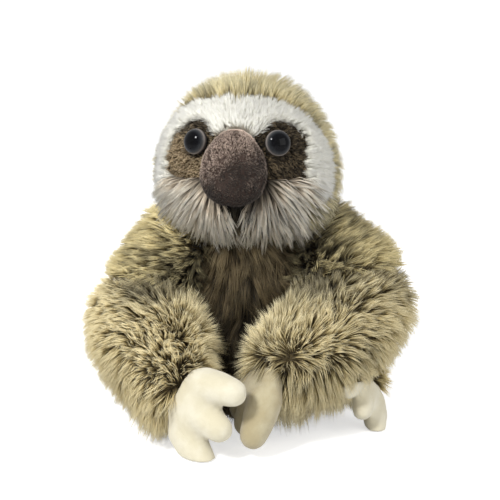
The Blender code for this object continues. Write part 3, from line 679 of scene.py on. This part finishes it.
def spikes(name, paths, width, tones, random):
    """Three-sided spikes along paths. Their map holds the tone across and the rise up."""
    count, rows, _ = paths.shape
    steps = rows - 1
    tangent = unit(paths[:, -1] - paths[:, 0])
    across = unit(np.cross(tangent, random.normal(size=(count, 3))))
    upright = np.cross(tangent, across)
    turns = np.arange(3) * 2 * math.pi / 3
    ahead, aside = np.cos(turns)[None, :, None], np.sin(turns)[None, :, None]
    around = across[:, None] * ahead + upright[:, None] * aside
    taper = 1 - 0.45 * np.linspace(0.0, 1.0, rows)[:-1] ** 1.2
    size = width[:, None, None, None] * taper[None, :, None, None] / 2
    rings = paths[:, :-1, None] + around[:, None] * size
    points = np.concatenate([rings.reshape(count, steps * 3, 3), paths[:, -1:]], axis=1)
    faces, places = [(2, 1, 0)], [(0, 1, 2)]
    for near in range(steps * 3):
        beside = near + 1 if near % 3 < 2 else near - 2
        if near < steps * 3 - 3:
            faces += [(near, beside, beside + 3), (near, beside + 3, near + 3)]
            places += [(0, 1, 1), (0, 1, 0)]
        else:
            faces.append((near, beside, steps * 3))
            places.append((0, 1, 0.5))
    faces, places = np.array(faces), np.array(places, float)
    mesh = bpy.data.meshes.new(name)
    mesh.vertices.add(points.shape[0] * points.shape[1])
    mesh.vertices.foreach_set("co", points.astype(np.float32).ravel())
    corners = faces[None] + (np.arange(count) * points.shape[1])[:, None, None]
    mesh.loops.add(corners.size)
    mesh.loops.foreach_set("vertex_index", corners.astype(np.int32).ravel())
    mesh.polygons.add(corners.size // 3)
    mesh.polygons.foreach_set("loop_start", np.arange(0, corners.size, 3, dtype=np.int32))
    across_map = tones[:, None, None] + (places[None] - 0.5) * 0.012
    up_map = np.broadcast_to((faces // 3)[None] / steps, across_map.shape).copy()
    up_map[:, 0, :] = (places[0] - 1) * 0.004 + 0.006
    layer = mesh.uv_layers.new(name=PILE_MAP)
    layer.uv.foreach_set("vector", np.stack([across_map, up_map], -1).astype(np.float32).ravel())
    mesh.update(calc_edges=True)
    return linked(name, mesh)


def flat_to(normals, vectors):
    """Vectors with the part that stands on the surface taken out."""
    return vectors - normals * (vectors * normals).sum(1, keepdims=True)


def swirl(points, seed, size=0.035):
    """A slow, smooth wander of direction over the toy."""
    random = np.random.default_rng(seed)
    total = np.zeros(points.shape)
    for wave in random.normal(size=(6, 3, 3)):
        total += np.sin(points @ (wave * 2.2 / size) + random.uniform(0, 6.3, 3))
    return total / 3


def limb_field(start, end, seed, along, down, fan=0.0, aside=0.0, crease_shade=0.0, tone=lambda roots: 0.57):
    """Pile that lies along a limb, fans away from its middle line and is longest under its end."""
    axis = unit(end - start)
    size = np.linalg.norm(end - start)
    hand = np.sign(start[0])
    outward = np.array((hand * aside, 0.0, 0.0))
    trim = 0.22 if hand < 0 else 0.10

    def field(roots, out):
        far = ((roots - start) @ axis) / size
        height = np.clip(out[:, 2:] * 1.2, -1, 1)
        wander = swirl(roots, seed)
        spread = outward * (1 - 0.6 * smoothly(far, 0.2, 0.9))[:, None]
        comb = flat_to(out, axis * along + spread + UP * (fan * height - down) + wander * 0.25)
        under = smoothly(-out[:, 2], 0.0, 0.7) * (0.45 * smoothly(far, 0.35, 0.85) - 0.20)
        cuff = 0.12 * smoothly(far, 0.80, 1.0)
        short = trim * smoothly(hand * out[:, 0] + 0.5 * out[:, 2], 0.1, 0.7)
        # Painted shade: the pile is darker along a parting low on the front of the limb
        ridge = np.exp(-((out[:, 2] + 0.1) / 0.22) ** 2)
        parting_shade = ridge * smoothly(-out[:, 1], 0.2, 0.7) * smoothly(far, 0.1, 0.4)
        # Painted shade: the pile is paler on a limb's outer side and darker on the side that faces the body
        pale = 0.14 * hand * out[:, 0]
        return comb, 1 + under + cuff - short, tone(roots) + pale + 0.07 * wander[:, 0] - crease_shade * parting_shade
    return field


def furred(node, sizes, kind, field, seed, clear, dark=0.35):
    """A limb's filled skin in place of its CAD node, with its coat."""
    skin = stuffed(f"{node}_skin", [node], sizes, node, "tan_fur")
    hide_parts(node)
    fur = grow(f"{node}_fur", skin, kind, field, seed, None, clear)
    finished(fur, pile_finish(f"{node}_pile", kind, dark), node, "tan_fur")


def nearest_to(node, reach):
    """A weight that is 1 where a skin lies close under a CAD node, and 0 elsewhere."""
    tree = node_tree(node)

    def weigh(points, normals):
        return np.array([float(tree.find_nearest(Vector(point), reach)[0] is not None) for point in points])
    return weigh


def away_from_nose(roots, out, lower=0.0):
    """Combs the pile out from the nose and down."""
    spread = roots - NOSE
    spread = spread - FACE_AHEAD * (spread @ FACE_AHEAD)[:, None]
    return unit(flat_to(out, unit(spread) - UP * lower))


def border_of(pad):
    """Gives a measure of how far inside a face panel's outer edge points lie."""
    def polar(points):
        way = points - HEAD_CENTRE
        turn = np.arctan2(way @ ACROSS, way[:, 2])
        return turn, np.arccos(unit(way) @ FACE_AHEAD), np.linalg.norm(way, axis=1)

    turn, opening, _ = polar(mesh_points(pad))
    turns = np.linspace(-math.pi, math.pi, 61)
    widest = [opening[np.abs(turn - middle) < 0.08].max(initial=0.0) for middle in turns]

    def border(points):
        turn, opening, far = polar(points)
        return (np.interp(turn, turns, widest) - opening) * far
    return border


# The toy's pieces

class Piece(bpy.types.Operator):
    """Base of the operators that build the toy"""
    bl_options = {"REGISTER", "UNDO"}

    def execute(self, context):
        self.build(context.scene)
        return {"FINISHED"}


# How near a panel's solid a skin counts as under it
CHEST_REACH = 0.0068
BODY_LIFT = 0.005
CHEST_SHADE = (0.085, 0.128)


class SLOTH_OT_body(Piece):
    """Build the torso's skin, its beige back and its dark chest"""
    bl_idname = "sloth.body"
    bl_label = "Body"

    def build(self, scene):
        nodes = ("torso_cover", "chest_panel", "torso_stuffing", "pellet_bag")
        skin = stuffed("body_skin", nodes, scene.sloth_forms, "torso", "tan_fur")
        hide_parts("torso_cover", "chest_panel")
        limbs = [f"{limb}_{side}" for limb in ("upper_arm", "leg") for side in SIDES]
        forearms = [f"forearm_{side}" for side in SIDES]
        on_chest = nearest_to("chest_panel", CHEST_REACH)

        def off_chest(points, normals):
            return 1 - on_chest(points, normals)

        kind = scene.sloth_body_coat
        fur = grow("body_fur", skin, kind, self.back_field, 11, off_chest, HEAD_FORM + limbs, BODY_LIFT)
        finished(fur, pile_finish("body_pile", kind), "torso", "tan_fur")
        kind = scene.sloth_chest_coat
        fur = grow("chest_fur", skin, kind, self.chest_field, 12, on_chest, HEAD_FORM + forearms, BODY_LIFT)
        finished(fur, pile_finish("chest_pile", kind, 0.14), "torso", "dark_fur")

    def back_field(self, roots, out):
        """Pile that hangs, shorter behind and next to the ground."""
        spread = unit((roots - NECK) * (1, 1, 0))
        short = 0.45 * smoothly(-roots[:, 2], -0.02, 0.0) + 0.22 * smoothly(out[:, 1], 0.3, 0.9)
        return flat_to(out, spread * 0.15 - UP), 1 - short, 0.55

    def chest_field(self, roots, out):
        """Ruffled pile that hangs, darker lower down."""
        aside = (roots[:, :1] - NECK[0] + 0.010) * (14.0, 0, 0)
        comb = flat_to(out, aside - UP + 0.4 * swirl(roots, 6, 0.022))
        return comb, 1.0, 0.06 + 0.60 * smoothly(roots[:, 2], *CHEST_SHADE) + 0.07 * swirl(roots, 2)[:, 0]


# Heights and widths of the arms' painted light and shade: the pale top of the right upper arm, the shade
# along the top of a forearm, and the darker pile near the chest
UPPER_SHADE = (0.118, 0.134)
LOWER_SHADE = (0.080, 0.094)
INNER_ARM = 0.050
CHEST_SIDE = 0.014


class SLOTH_OT_arms(Piece):
    """Build both furred arms"""
    bl_idname = "sloth.arms"
    bl_label = "Arms"

    def build(self, scene):
        sizes = scene.sloth_forms
        torso = [*TORSO_FORM, "chest_panel"]
        for index, side in enumerate(SIDES):
            joints = (f"{joint}_{side}" for joint in ("shoulder_open", "elbow_open", "wrist_bend"))
            shoulder, elbow, wrist = map(joint_place, joints)
            upper, lower = f"upper_arm_{side}", f"forearm_{side}"
            field = limb_field(shoulder, elbow, 5 + index, 0.1, 0.0, aside=0.8, tone=self.upper_tone(side))
            clear = [*torso, *HEAD_FORM, lower, f"cheek_{side}"]
            furred(upper, sizes, scene.sloth_upper_arm_coat, field, 21 + index, clear, 0.12)
            # How far each forearm's pile fans up, and how deep the painted shade along its parting is; the
            # left one's is deeper
            fan, crease_shade = (0.9, 0.30) if side == "left" else (0.7, 0.06)
            field = limb_field(elbow, wrist, 7 + index, 0.4, 0.1, fan, 0.6, crease_shade, self.lower_tone(side))
            clear = [*torso, upper, f"hand_{side}", f"leg_{side}"]
            furred(lower, sizes, scene.sloth_arm_coat, field, 31 + index, clear, 0.15)

    def upper_tone(self, side):
        """Darker near the chest, and pale on top of one arm."""
        low, rise, top = (0.16, 9.0, 0.0) if side == "left" else (0.30, 7.0, 0.38)

        def tone(roots):
            outwards = np.abs(roots[:, 0]) - INNER_ARM
            return low + rise * outwards + top * smoothly(roots[:, 2], *UPPER_SHADE)
        return tone

    def lower_tone(self, side):
        """Darker along the top, where the upper arm shades it."""
        left, right = (0.66, 0.66, 0.45, INNER_ARM), (0.86, 0.78, 0.7, 0.078)
        level, drop, lit, inner = left if side == "left" else right

        def tone(roots):
            outwards = smoothly(np.abs(roots[:, 0]), inner, inner + CHEST_SIDE)
            return level - drop * smoothly(roots[:, 2], *LOWER_SHADE) * (1 - lit * outwards)
        return tone


class SLOTH_OT_legs(Piece):
    """Build both short furred legs"""
    bl_idname = "sloth.legs"
    bl_label = "Legs"

    def build(self, scene):
        for index, side in enumerate(SIDES):
            low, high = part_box(f"foot_{side}")
            hip, ankle = joint_place(f"hip_spread_{side}"), np.array((low + high) / 2)
            field = limb_field(hip, ankle, 9 + index, 0.6, 0.1)
            clear = [*TORSO_FORM, f"foot_{side}", f"forearm_{side}"]
            furred(f"leg_{side}", scene.sloth_forms, scene.sloth_leg_coat, field, 41 + index, clear)


# Velour and its worn patches. The left hand lies in the other's shade, and its nap looks browner
VELOUR = ((0.60, 0.55, 0.40), (0.67, 0.63, 0.50))
SHADED_VELOUR = ((0.37, 0.31, 0.18), (0.46, 0.41, 0.27))


class SLOTH_OT_paws(Piece):
    """Build the velour hands and feet"""
    bl_idname = "sloth.paws"
    bl_label = "Paws"

    def build(self, scene):
        sizes = scene.sloth_forms
        paws = {f"hand_{side}": f"hand_{side}" for side in SIDES}
        paws.update({f"foot_{side}": f"leg_{side}" for side in SIDES})
        for node, body in paws.items():
            base, worn = SHADED_VELOUR if node == "hand_left" else VELOUR
            paw = remesh(copy_of(f"{node}_velour", node), sizes.paw_voxel, 8)
            puff(paw, sizes, sizes.puff * 0.5)
            subdivide(paw)
            finished(paw, velour_finish(f"{node}_nap", base, worn), body, "cream_velour")
            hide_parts(node)


SEAM_REACH = 0.0062
HEM_REACH = 0.0075
HEAD_LIFT = 0.0045
EYE_CLEAR = 0.021


class SLOTH_OT_head(Piece):
    """Build the head's skin and the beige pile round and behind it"""
    bl_idname = "sloth.head"
    bl_label = "Head"

    def build(self, scene):
        skin = stuffed("head_skin", HEAD_FORM, scene.sloth_forms, "head", "tan_fur")
        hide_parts("head_cover")
        covers = [*PANELS, "chin_panel", "muzzle"]
        near = [nearest_to(panel, SEAM_REACH) for panel in covers]
        hem = [nearest_to(panel, HEM_REACH) for panel in PANELS]

        def field(roots, out):
            spread = away_from_nose(roots, out, 0.35)
            behind = smoothly((HEAD_CENTRE - roots) @ FACE_AHEAD, -0.02, 0.04)[:, None]
            low = smoothly(HEAD_CENTRE[2] - roots[:, 2], -0.015, 0.030)
            edge = np.max([panel(roots, out) for panel in hem], axis=0)
            crest = edge * smoothly(out[:, 2], 0.2, 0.7)
            back = FACE_AHEAD * (0.35 - 0.35 * crest)[:, None]
            comb = flat_to(out, spread * (1 - behind) + behind * (-UP * 0.9 - FACE_AHEAD * 0.3) - back)
            rear = 0.15 * smoothly(out[:, 1], 0.3, 0.9) + 0.18 * smoothly(out[:, 0], 0.4, 0.9)
            rear = rear + 0.34 * smoothly(-out[:, 0], 0.2, 0.7)
            tone = 0.64 + 0.06 * swirl(roots, 4)[:, 0] - 0.14 * edge
            return comb, 1 + 0.12 * low + 0.18 * crest - rear, tone

        def behind_face(points, normals):
            """Leaves out the seams between two panels, and what lies round the eyes."""
            seams = sum(panel(points, normals) for panel in near) >= 2
            return (~seams & (to_eye(points) > EYE_CLEAR)).astype(float)

        kind = scene.sloth_head_coat
        clear = covers + TORSO_FORM
        fur = grow("head_fur", skin, kind, field, 51, behind_face, clear, HEAD_LIFT)
        finished(fur, pile_finish("head_pile", kind, 0.25), "head", "tan_fur")


# Pile of the face. Ranges are pairs of distances between which the pile changes

WHITE_TONE = 0.62
BAND_SHORT = (0.008, 0.018)
PATCH_DARK = (0.010, 0.018)
PATCH_TOP = 0.026
PATCH_FADE = 0.018
LIT_SIDE = (-0.01, 0.01)
CHEEK_PALE = (0.028, 0.052)
CHEEK_LONG = (0.030, 0.050)
CHEEK_TURN = 0.02
CHIN_LEAN = 0.026
CHIN_LEAN_FADE = 0.014
CHIN_TOP = 0.012
# Distances below the nose over which the chin's painted shadow fades
CHIN_SHADOW_FADE = (0.025, 0.042)
LEFT_RIM = (0.0500, 0.0550)
RIGHT_RIM = (0.043, 0.050)
RIM_END = (0.018, 0.023)
LEFT_HEM = (0.0505, 0.0535)
RIGHT_HEM = (0.0415, 0.0445)
HEM_WAVE = 0.0012
CREST_WIDTH = 0.0055
CREST_FADE = (-0.001, 0.001)
CREST_SHARE = (-0.035, -0.005)
OUTER_FACE = 0.006
PANEL_LIFT = 0.001


def band(roots, out):
    """White pile, shorter next to an eye."""
    return away_from_nose(roots, out), 0.45 + 0.55 * smoothly(to_eye(roots), *BAND_SHORT), WHITE_TONE


def patch(roots, out):
    """Clipped brown pile, paler away from the eye on the lit side."""
    far = smoothly(to_eye(roots), *PATCH_DARK)
    far = far * smoothly(NOSE[2] + PATCH_TOP - roots[:, 2], 0.0, PATCH_FADE)
    lit = smoothly(NOSE[0] - roots[:, 0], *LIT_SIDE)
    return away_from_nose(roots, out, 0.5), 1.0, 0.02 + (0.08 + 0.92 * lit) * far


def cheek(roots, out):
    """Streaked pile that fans out from the nose and leans in over the chin."""
    from_nose = np.linalg.norm(roots - NOSE, axis=1)
    aside = (roots - NOSE) @ ACROSS
    turn = np.arctan2(aside, NOSE[2] - roots[:, 2] + CHEEK_TURN)
    streak = np.sin(turn * 44 + 1.5 * np.sin(turn * 17)) + 0.6 * np.sin(turn * 71 + 2)
    tone = 0.46 + 0.24 * smoothly(from_nose, *CHEEK_PALE) + 0.36 * np.tanh(2.5 * streak)
    # Painted light: the right cheek, at lower x than the nose and on the key light's side, is paler
    tone = tone + 0.20 * (roots[:, 0] < NOSE[0])
    inwards = smoothly(CHIN_LEAN - np.abs(aside), 0.0, CHIN_LEAN_FADE) * (roots[:, 2] < NOSE[2] - CHIN_TOP)
    comb = away_from_nose(roots, out, 0.45) - (0.6 * inwards * np.sign(aside))[:, None] * ACROSS
    return flat_to(out, comb), 0.8 + 0.2 * smoothly(from_nose, *CHEEK_LONG), tone


def edge(roots, out):
    """White pile that carries the band on round a cheek."""
    return away_from_nose(roots, out, 0.3), 0.75, WHITE_TONE


def ruff(roots, out):
    """Beige pile at the lower corner of a cheek."""
    return away_from_nose(roots, out, 0.5), 0.85, 0.34 + 0.10 * swirl(roots, 8, 0.012)[:, 0]


def fringe(roots, out):
    """Beige pile that stands up along the top of the band."""
    comb = flat_to(out, away_from_nose(roots, out, -0.2))
    return comb, 0.50 + 0.40 * smoothly(out[:, 2], 0.45, 0.85), 0.46 + 0.06 * swirl(roots, 4)[:, 0]


def chin(roots, out):
    """Dark pile, longer and paler lower down."""
    below = smoothly(NOSE[2] - roots[:, 2], *CHIN_SHADOW_FADE)
    return away_from_nose(roots, out, 0.45), 0.7 + 0.3 * below, 0.03 + 0.45 * below


def rim(points, border):
    """0 over the inner cheek and 1 at its outer edge."""
    outwards = smoothly(points[:, 0] - NOSE[0], *LEFT_RIM)
    return np.maximum(outwards, smoothly((NOSE - points) @ ACROSS, *RIGHT_RIM))


def low_rim(points, border):
    """The rim's lower end on one side, where beige pile takes over."""
    return rim(points, border) * smoothly(NOSE[2] - points[:, 2], *RIM_END) * (points[:, 0] > NOSE[0])


def white_rim(points, border):
    """The rest of the rim."""
    return rim(points, border) * (1 - smoothly(NOSE[2] - points[:, 2], *RIM_END) * (points[:, 0] > NOSE[0]))


def patch_hem(points, border):
    """1 where the white pile covers the outer end of an eye patch."""
    off = points[:, 0] - NOSE[0] + HEM_WAVE * np.sin(points[:, 2] * 900) - 6 * (points[:, 2] - NOSE[2]) ** 2
    return np.maximum(smoothly(off, *LEFT_HEM), smoothly(-off, *RIGHT_HEM))


def crest(points, border):
    """1 along the top of the white band, where the beige fringe starts."""
    width = CREST_WIDTH * smoothly(points[:, 0] - NOSE[0], *CREST_SHARE)
    return smoothly(width - border(points), *CREST_FADE)


class SLOTH_OT_face(Piece):
    """Build the white band, the eye patches, the cheeks and the chin"""
    bl_idname = "sloth.face"
    bl_label = "Face"

    def build(self, scene):
        white, beige = scene.sloth_band_coat, scene.sloth_head_coat
        main = {
            "brow": (band, white, 1.0, "white_plush", 0.6),
            "eye_patch": (patch, scene.sloth_patch_coat, 1.0, "patch_plush", 0.08),
            "cheek": (cheek, scene.sloth_cheek_coat, 1.0, "frosted_fur", 0.04),
        }
        grounds = {
            "brow": (0.95, 0.92, 0.84), "eye_patch": (0.012, 0.008, 0.004), "cheek": (0.020, 0.013, 0.009)
        }
        covered = {"brow": crest, "eye_patch": patch_hem, "cheek": rim}
        hems = {
            "brow": (crest, (fringe, beige, 0.09, "tan_fur", 0.25)),
            "eye_patch": (patch_hem, (band, white, 0.16, "white_plush", 0.6)),
            "cheek": (white_rim, (edge, scene.sloth_edge_coat, 1.0, "white_plush", 0.6)),
        }
        for index, node in enumerate(PANELS):
            part = node.rsplit("_", 1)[0]
            pad, border = self.panel(scene, node, grounds[part], main[part][3])

            def bare(points, border, weight=covered[part]):
                return 1 - weight(points, border)

            self.pile(node, pad, border, bare, 61 + index, *main[part])
            weight, coat = hems[part]
            self.pile(f"{node}_hem", pad, border, weight, 81 + index, *coat)
            if node == "cheek_left":
                self.pile("cheek_corner", pad, border, low_rim, 90, ruff, beige, 0.10, "tan_fur", 0.15)
        # The chin's nearly black cloth is painted shadow under the muzzle
        pad, border = self.panel(scene, "chin_panel", (0.008, 0.006, 0.004), "frosted_fur")
        coat = (chin, scene.sloth_chin_coat, 1.0, "frosted_fur", 0.06)
        self.pile("chin_panel", pad, border, lambda points, border: 1.0, 70, *coat)

    def panel(self, scene, node, ground, slot):
        """A panel's cloth, and the measure of how far inside its edge points lie."""
        sizes = scene.sloth_forms
        pad = remesh(copy_of(f"{node}_cloth", node), sizes.pad_voxel, 3)
        border = border_of(pad)
        settle(pad, sizes.pad_depth, sizes.pad_spread)
        finished(pad, cloth_finish(f"{node}_ground", ground), "head", slot)
        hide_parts(node)
        return pad, border

    def pile(self, name, pad, border, weight, seed, field, kind, part, slot, dark):
        """One coat over the share of a panel's outer face that the weight gives."""
        def weigh(points, normals):
            outer = ((points - HEAD_CENTRE) * normals).sum(1) > OUTER_FACE
            return outer * weight(points, border)

        fur = grow(f"{name}_pile", pad, kind, field, seed, weigh, ["muzzle"], PANEL_LIFT, part)
        finished(fur, pile_finish(f"{name}_strands", kind, dark), "head", slot)


MUZZLE_DEPTH = 0.0006
MUZZLE_PUFF = 0.001


class SLOTH_OT_muzzle(Piece):
    """Build the big muzzle with its clipped pile"""
    bl_idname = "sloth.muzzle"
    bl_label = "Muzzle"

    def build(self, scene):
        sizes = scene.sloth_forms
        skin = remesh(copy_of("muzzle_skin", "muzzle"), sizes.paw_voxel, 6)
        draw_in(skin, MUZZLE_DEPTH)
        puff(skin, sizes, MUZZLE_PUFF)
        finished(skin, cloth_finish("muzzle_ground", (0.055, 0.037, 0.030)), "head", "muzzle_plush")
        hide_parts("muzzle")
        kind = scene.sloth_muzzle_coat
        fur = grow("muzzle_pile", skin, kind, self.field, 81, None, HEAD_FORM, PANEL_LIFT)
        finished(fur, pile_finish("muzzle_strands", kind, 0.06), "head", "muzzle_plush")

    def field(self, roots, out):
        """Brushed pile, pale at the top and dark in the middle and below."""
        low, high = (np.array(corner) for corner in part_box("muzzle"))
        place = (roots - low) / (high - low)
        dark = np.exp(-(((place[:, 0] - 0.52) / 0.22) ** 2 + ((place[:, 2] - 0.55) / 0.20) ** 2))
        # Painted shade under the muzzle's lower part, and painted light on its upper left
        low_shade = smoothly(-place[:, 2], -0.35, -0.05)
        lit = smoothly(place[:, 2] - 0.35 * place[:, 0], 0.25, 0.75)
        wander = swirl(roots, 3, 0.010)
        tone = 0.10 + 1.0 * lit - 0.26 * dark - 0.35 * low_shade + 0.09 * wander[:, 0]
        return away_from_nose(roots, out, 0.2) + 0.5 * wander, 1.0, tone


class SLOTH_OT_eyes(Piece):
    """Build the glossy eyes"""
    bl_idname = "sloth.eyes"
    bl_label = "Eyes"

    def build(self, scene):
        for side in SIDES:
            points = node_points(f"eye_dome_{side}")
            axis = -max(frame["nodes"][f"eye_dome_{side}"].data.polygons, key=lambda face: face.area).normal
            along = points @ np.array(axis)
            ring = points[along < along.min() + 1e-4]
            base = Vector((ring.min(0) + ring.max(0)) / 2)
            radius = np.linalg.norm(ring - np.array(base), axis=1).max()
            height = along.max() - along.min()
            bpy.ops.object.select_all(action="DESELECT")
            bpy.ops.mesh.primitive_uv_sphere_add(segments=48, ring_count=24, radius=1.0)
            dome = bpy.context.active_object
            dome.name = f"eye_{side}"
            cut = {"plane_co": (0, 0, 0.02), "plane_no": (0, 0, 1), "clear_inner": True, "use_fill": True}
            edit(bpy.ops.mesh.bisect, **cut)
            turn = axis.to_track_quat("Z", "Y").to_matrix().to_4x4()
            size = Matrix.Diagonal((radius, radius, height, 1.0))
            dome.data.transform(Matrix.Translation(base) @ turn @ size)
            material = dome_finish(f"eye_{side}_dome", base, axis, radius, scene.sloth_eyes)
            finished(dome, material, "head", "clear_plastic")
            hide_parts(f"eye_dome_{side}")


class SLOTH_OT_inside(Piece):
    """Give the filling, the pellet bag, the shanks and the washers their finishes"""
    bl_idname = "sloth.inside"
    bl_label = "Inside"

    def build(self, scene):
        fibre = mottled_finish("fibre_fill_wisps", (0.85, 0.85, 0.83), 320.0, 5.0, 0.0008, 0.7, 0.8, 0.95)
        ink = (0.012, 0.012, 0.014)
        black = mottled_finish("black_plastic_moulded", ink, 500.0, 3.0, 0.00003, 0.8, 1.6, 0.35)
        finishes = {"torso_stuffing": fibre, "head_stuffing": fibre}
        finishes["pellet_bag"] = cloth_finish("pellet_cloth_weave", (0.70, 0.70, 0.70))
        finishes.update({f"eye_{part}_{side}": black for part in ("shank", "washer") for side in SIDES})
        for node, material in finishes.items():
            for held in frame["nodes"][node].material_slots:
                held.material = material


WHITE = (1.0, 1.0, 1.0)
FLOOR_SIZE = 60.0
KEY_PLACE, KEY_SIZE = Vector((-0.7, -0.9, 1.0)), 0.26
FILL_PLACE, FILL_SIZE = Vector((1.0, -0.8, 0.5)), 0.9


def looking(name, data, place, target):
    """A lamp or camera that stands at a place and looks at a target."""
    made = linked(name, data)
    made.location = place
    made.rotation_euler = (target - place).to_track_quat("-Z", "Y").to_euler()
    return made


class SLOTH_OT_stage(Piece):
    """Set up the floor, the lights and the camera"""
    bl_idname = "sloth.stage"
    bl_label = "Stage"

    def build(self, scene):
        sizes = scene.sloth_stage
        bpy.ops.object.select_all(action="DESELECT")
        bpy.ops.mesh.primitive_plane_add(size=FLOOR_SIZE)
        floor = bpy.context.active_object
        floor.name = "floor"
        floor.data.materials.append(self.floor_finish())
        self.world(scene, sizes.air)
        target = Vector(sizes.target)
        self.lamp("key_light", target + KEY_PLACE, target, KEY_SIZE, sizes.key)
        self.lamp("fill_light", target + FILL_PLACE, target, FILL_SIZE, sizes.fill)
        data = bpy.data.cameras.new("camera")
        data.lens = sizes.lens
        data.sensor_width = 36.0
        rise = math.radians(sizes.elevation)
        place = target + sizes.distance * Vector((0, -math.cos(rise), math.sin(rise)))
        scene.camera = looking("camera", data, place, target)
        scene.view_settings.view_transform = "Standard"

    def floor_finish(self):
        made = Finish("floor_paint")
        camera = made.node("ShaderNodeLightPath", {}, [], "Is Camera Ray")
        seen = camera + camera.twin("Is Glossy Ray")
        patch = made.noise(3.0, 2.0)
        paper = made.mix(patch.step(0.3, 0.7), (0.80, 0.80, 0.80), (0.79, 0.79, 0.79))
        glow = made.mix(seen.clamp(), (0.0, 0.0, 0.0), (0.58, 0.58, 0.58))
        made.set(Base_Color=paper, Roughness=0.9, Specular_IOR_Level=0.1)
        return made.set(Emission_Color=glow, Emission_Strength=1.0)

    def world(self, scene, air):
        """Soft light from all round, and white where the camera or a mirror sees past the toy."""
        scene.world = bpy.data.worlds.new("studio")
        scene.world.use_nodes = True
        made = Sheet(scene.world.node_tree)
        camera = made.node("ShaderNodeLightPath", {}, [], "Is Camera Ray")
        seen = (camera + camera.twin("Is Glossy Ray") + camera.twin("Is Transmission Ray")).clamp()
        light = made.node("ShaderNodeBackground", {}, [WHITE, air])
        paper = made.node("ShaderNodeBackground", {}, [WHITE, 1.0])
        both = made.node("ShaderNodeMixShader", {}, [seen, light, paper])
        made.put(made.tree.nodes["World Output"].inputs["Surface"], both)

    def lamp(self, name, place, target, size, power):
        light = bpy.data.lights.new(name, "AREA")
        light.size = size
        light.energy = power
        looking(name, light, place, target)


PIECES = (
    SLOTH_OT_body, SLOTH_OT_arms, SLOTH_OT_legs, SLOTH_OT_paws, SLOTH_OT_head, SLOTH_OT_face,
    SLOTH_OT_muzzle, SLOTH_OT_eyes, SLOTH_OT_inside, SLOTH_OT_stage,
)


class SLOTH_PT_panel(bpy.types.Panel):
    """Lists the toy's pieces in the sidebar"""
    bl_idname = "SLOTH_PT_panel"
    bl_label = "Plush sloth"
    bl_space_type = "VIEW_3D"
    bl_region_type = "UI"
    bl_category = "Plush sloth"

    def draw(self, context):
        for piece in PIECES:
            self.layout.operator(piece.bl_idname)
        for name in GROUPS:
            box = self.layout.box()
            group = getattr(context.scene, name)
            box.label(text=group.bl_rna.name)
            for key in group.bl_rna.properties.keys():
                if key not in ("rna_type", "name"):
                    box.prop(group, key)


GROUPS = {
    **{f"sloth_{name}_coat": coat_group(name, *values) for name, values in COATS.items()},
    "sloth_forms": FormSizes,
    "sloth_eyes": EyeSizes,
    "sloth_stage": StageSizes,
}


def register():
    for group in GROUPS.values():
        bpy.utils.register_class(group)
    for name, group in GROUPS.items():
        setattr(bpy.types.Scene, name, bpy.props.PointerProperty(type=group))
    for piece in (*PIECES, SLOTH_PT_panel):
        bpy.utils.register_class(piece)


def unregister():
    for piece in (*PIECES, SLOTH_PT_panel):
        bpy.utils.unregister_class(piece)
    for name, group in GROUPS.items():
        delattr(bpy.types.Scene, name)
        bpy.utils.unregister_class(group)


def main():
    register()
    for piece in PIECES:
        family, action = piece.bl_idname.split(".")
        getattr(getattr(bpy.ops, family), action)()
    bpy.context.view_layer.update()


if __name__ == "__main__":
    main()
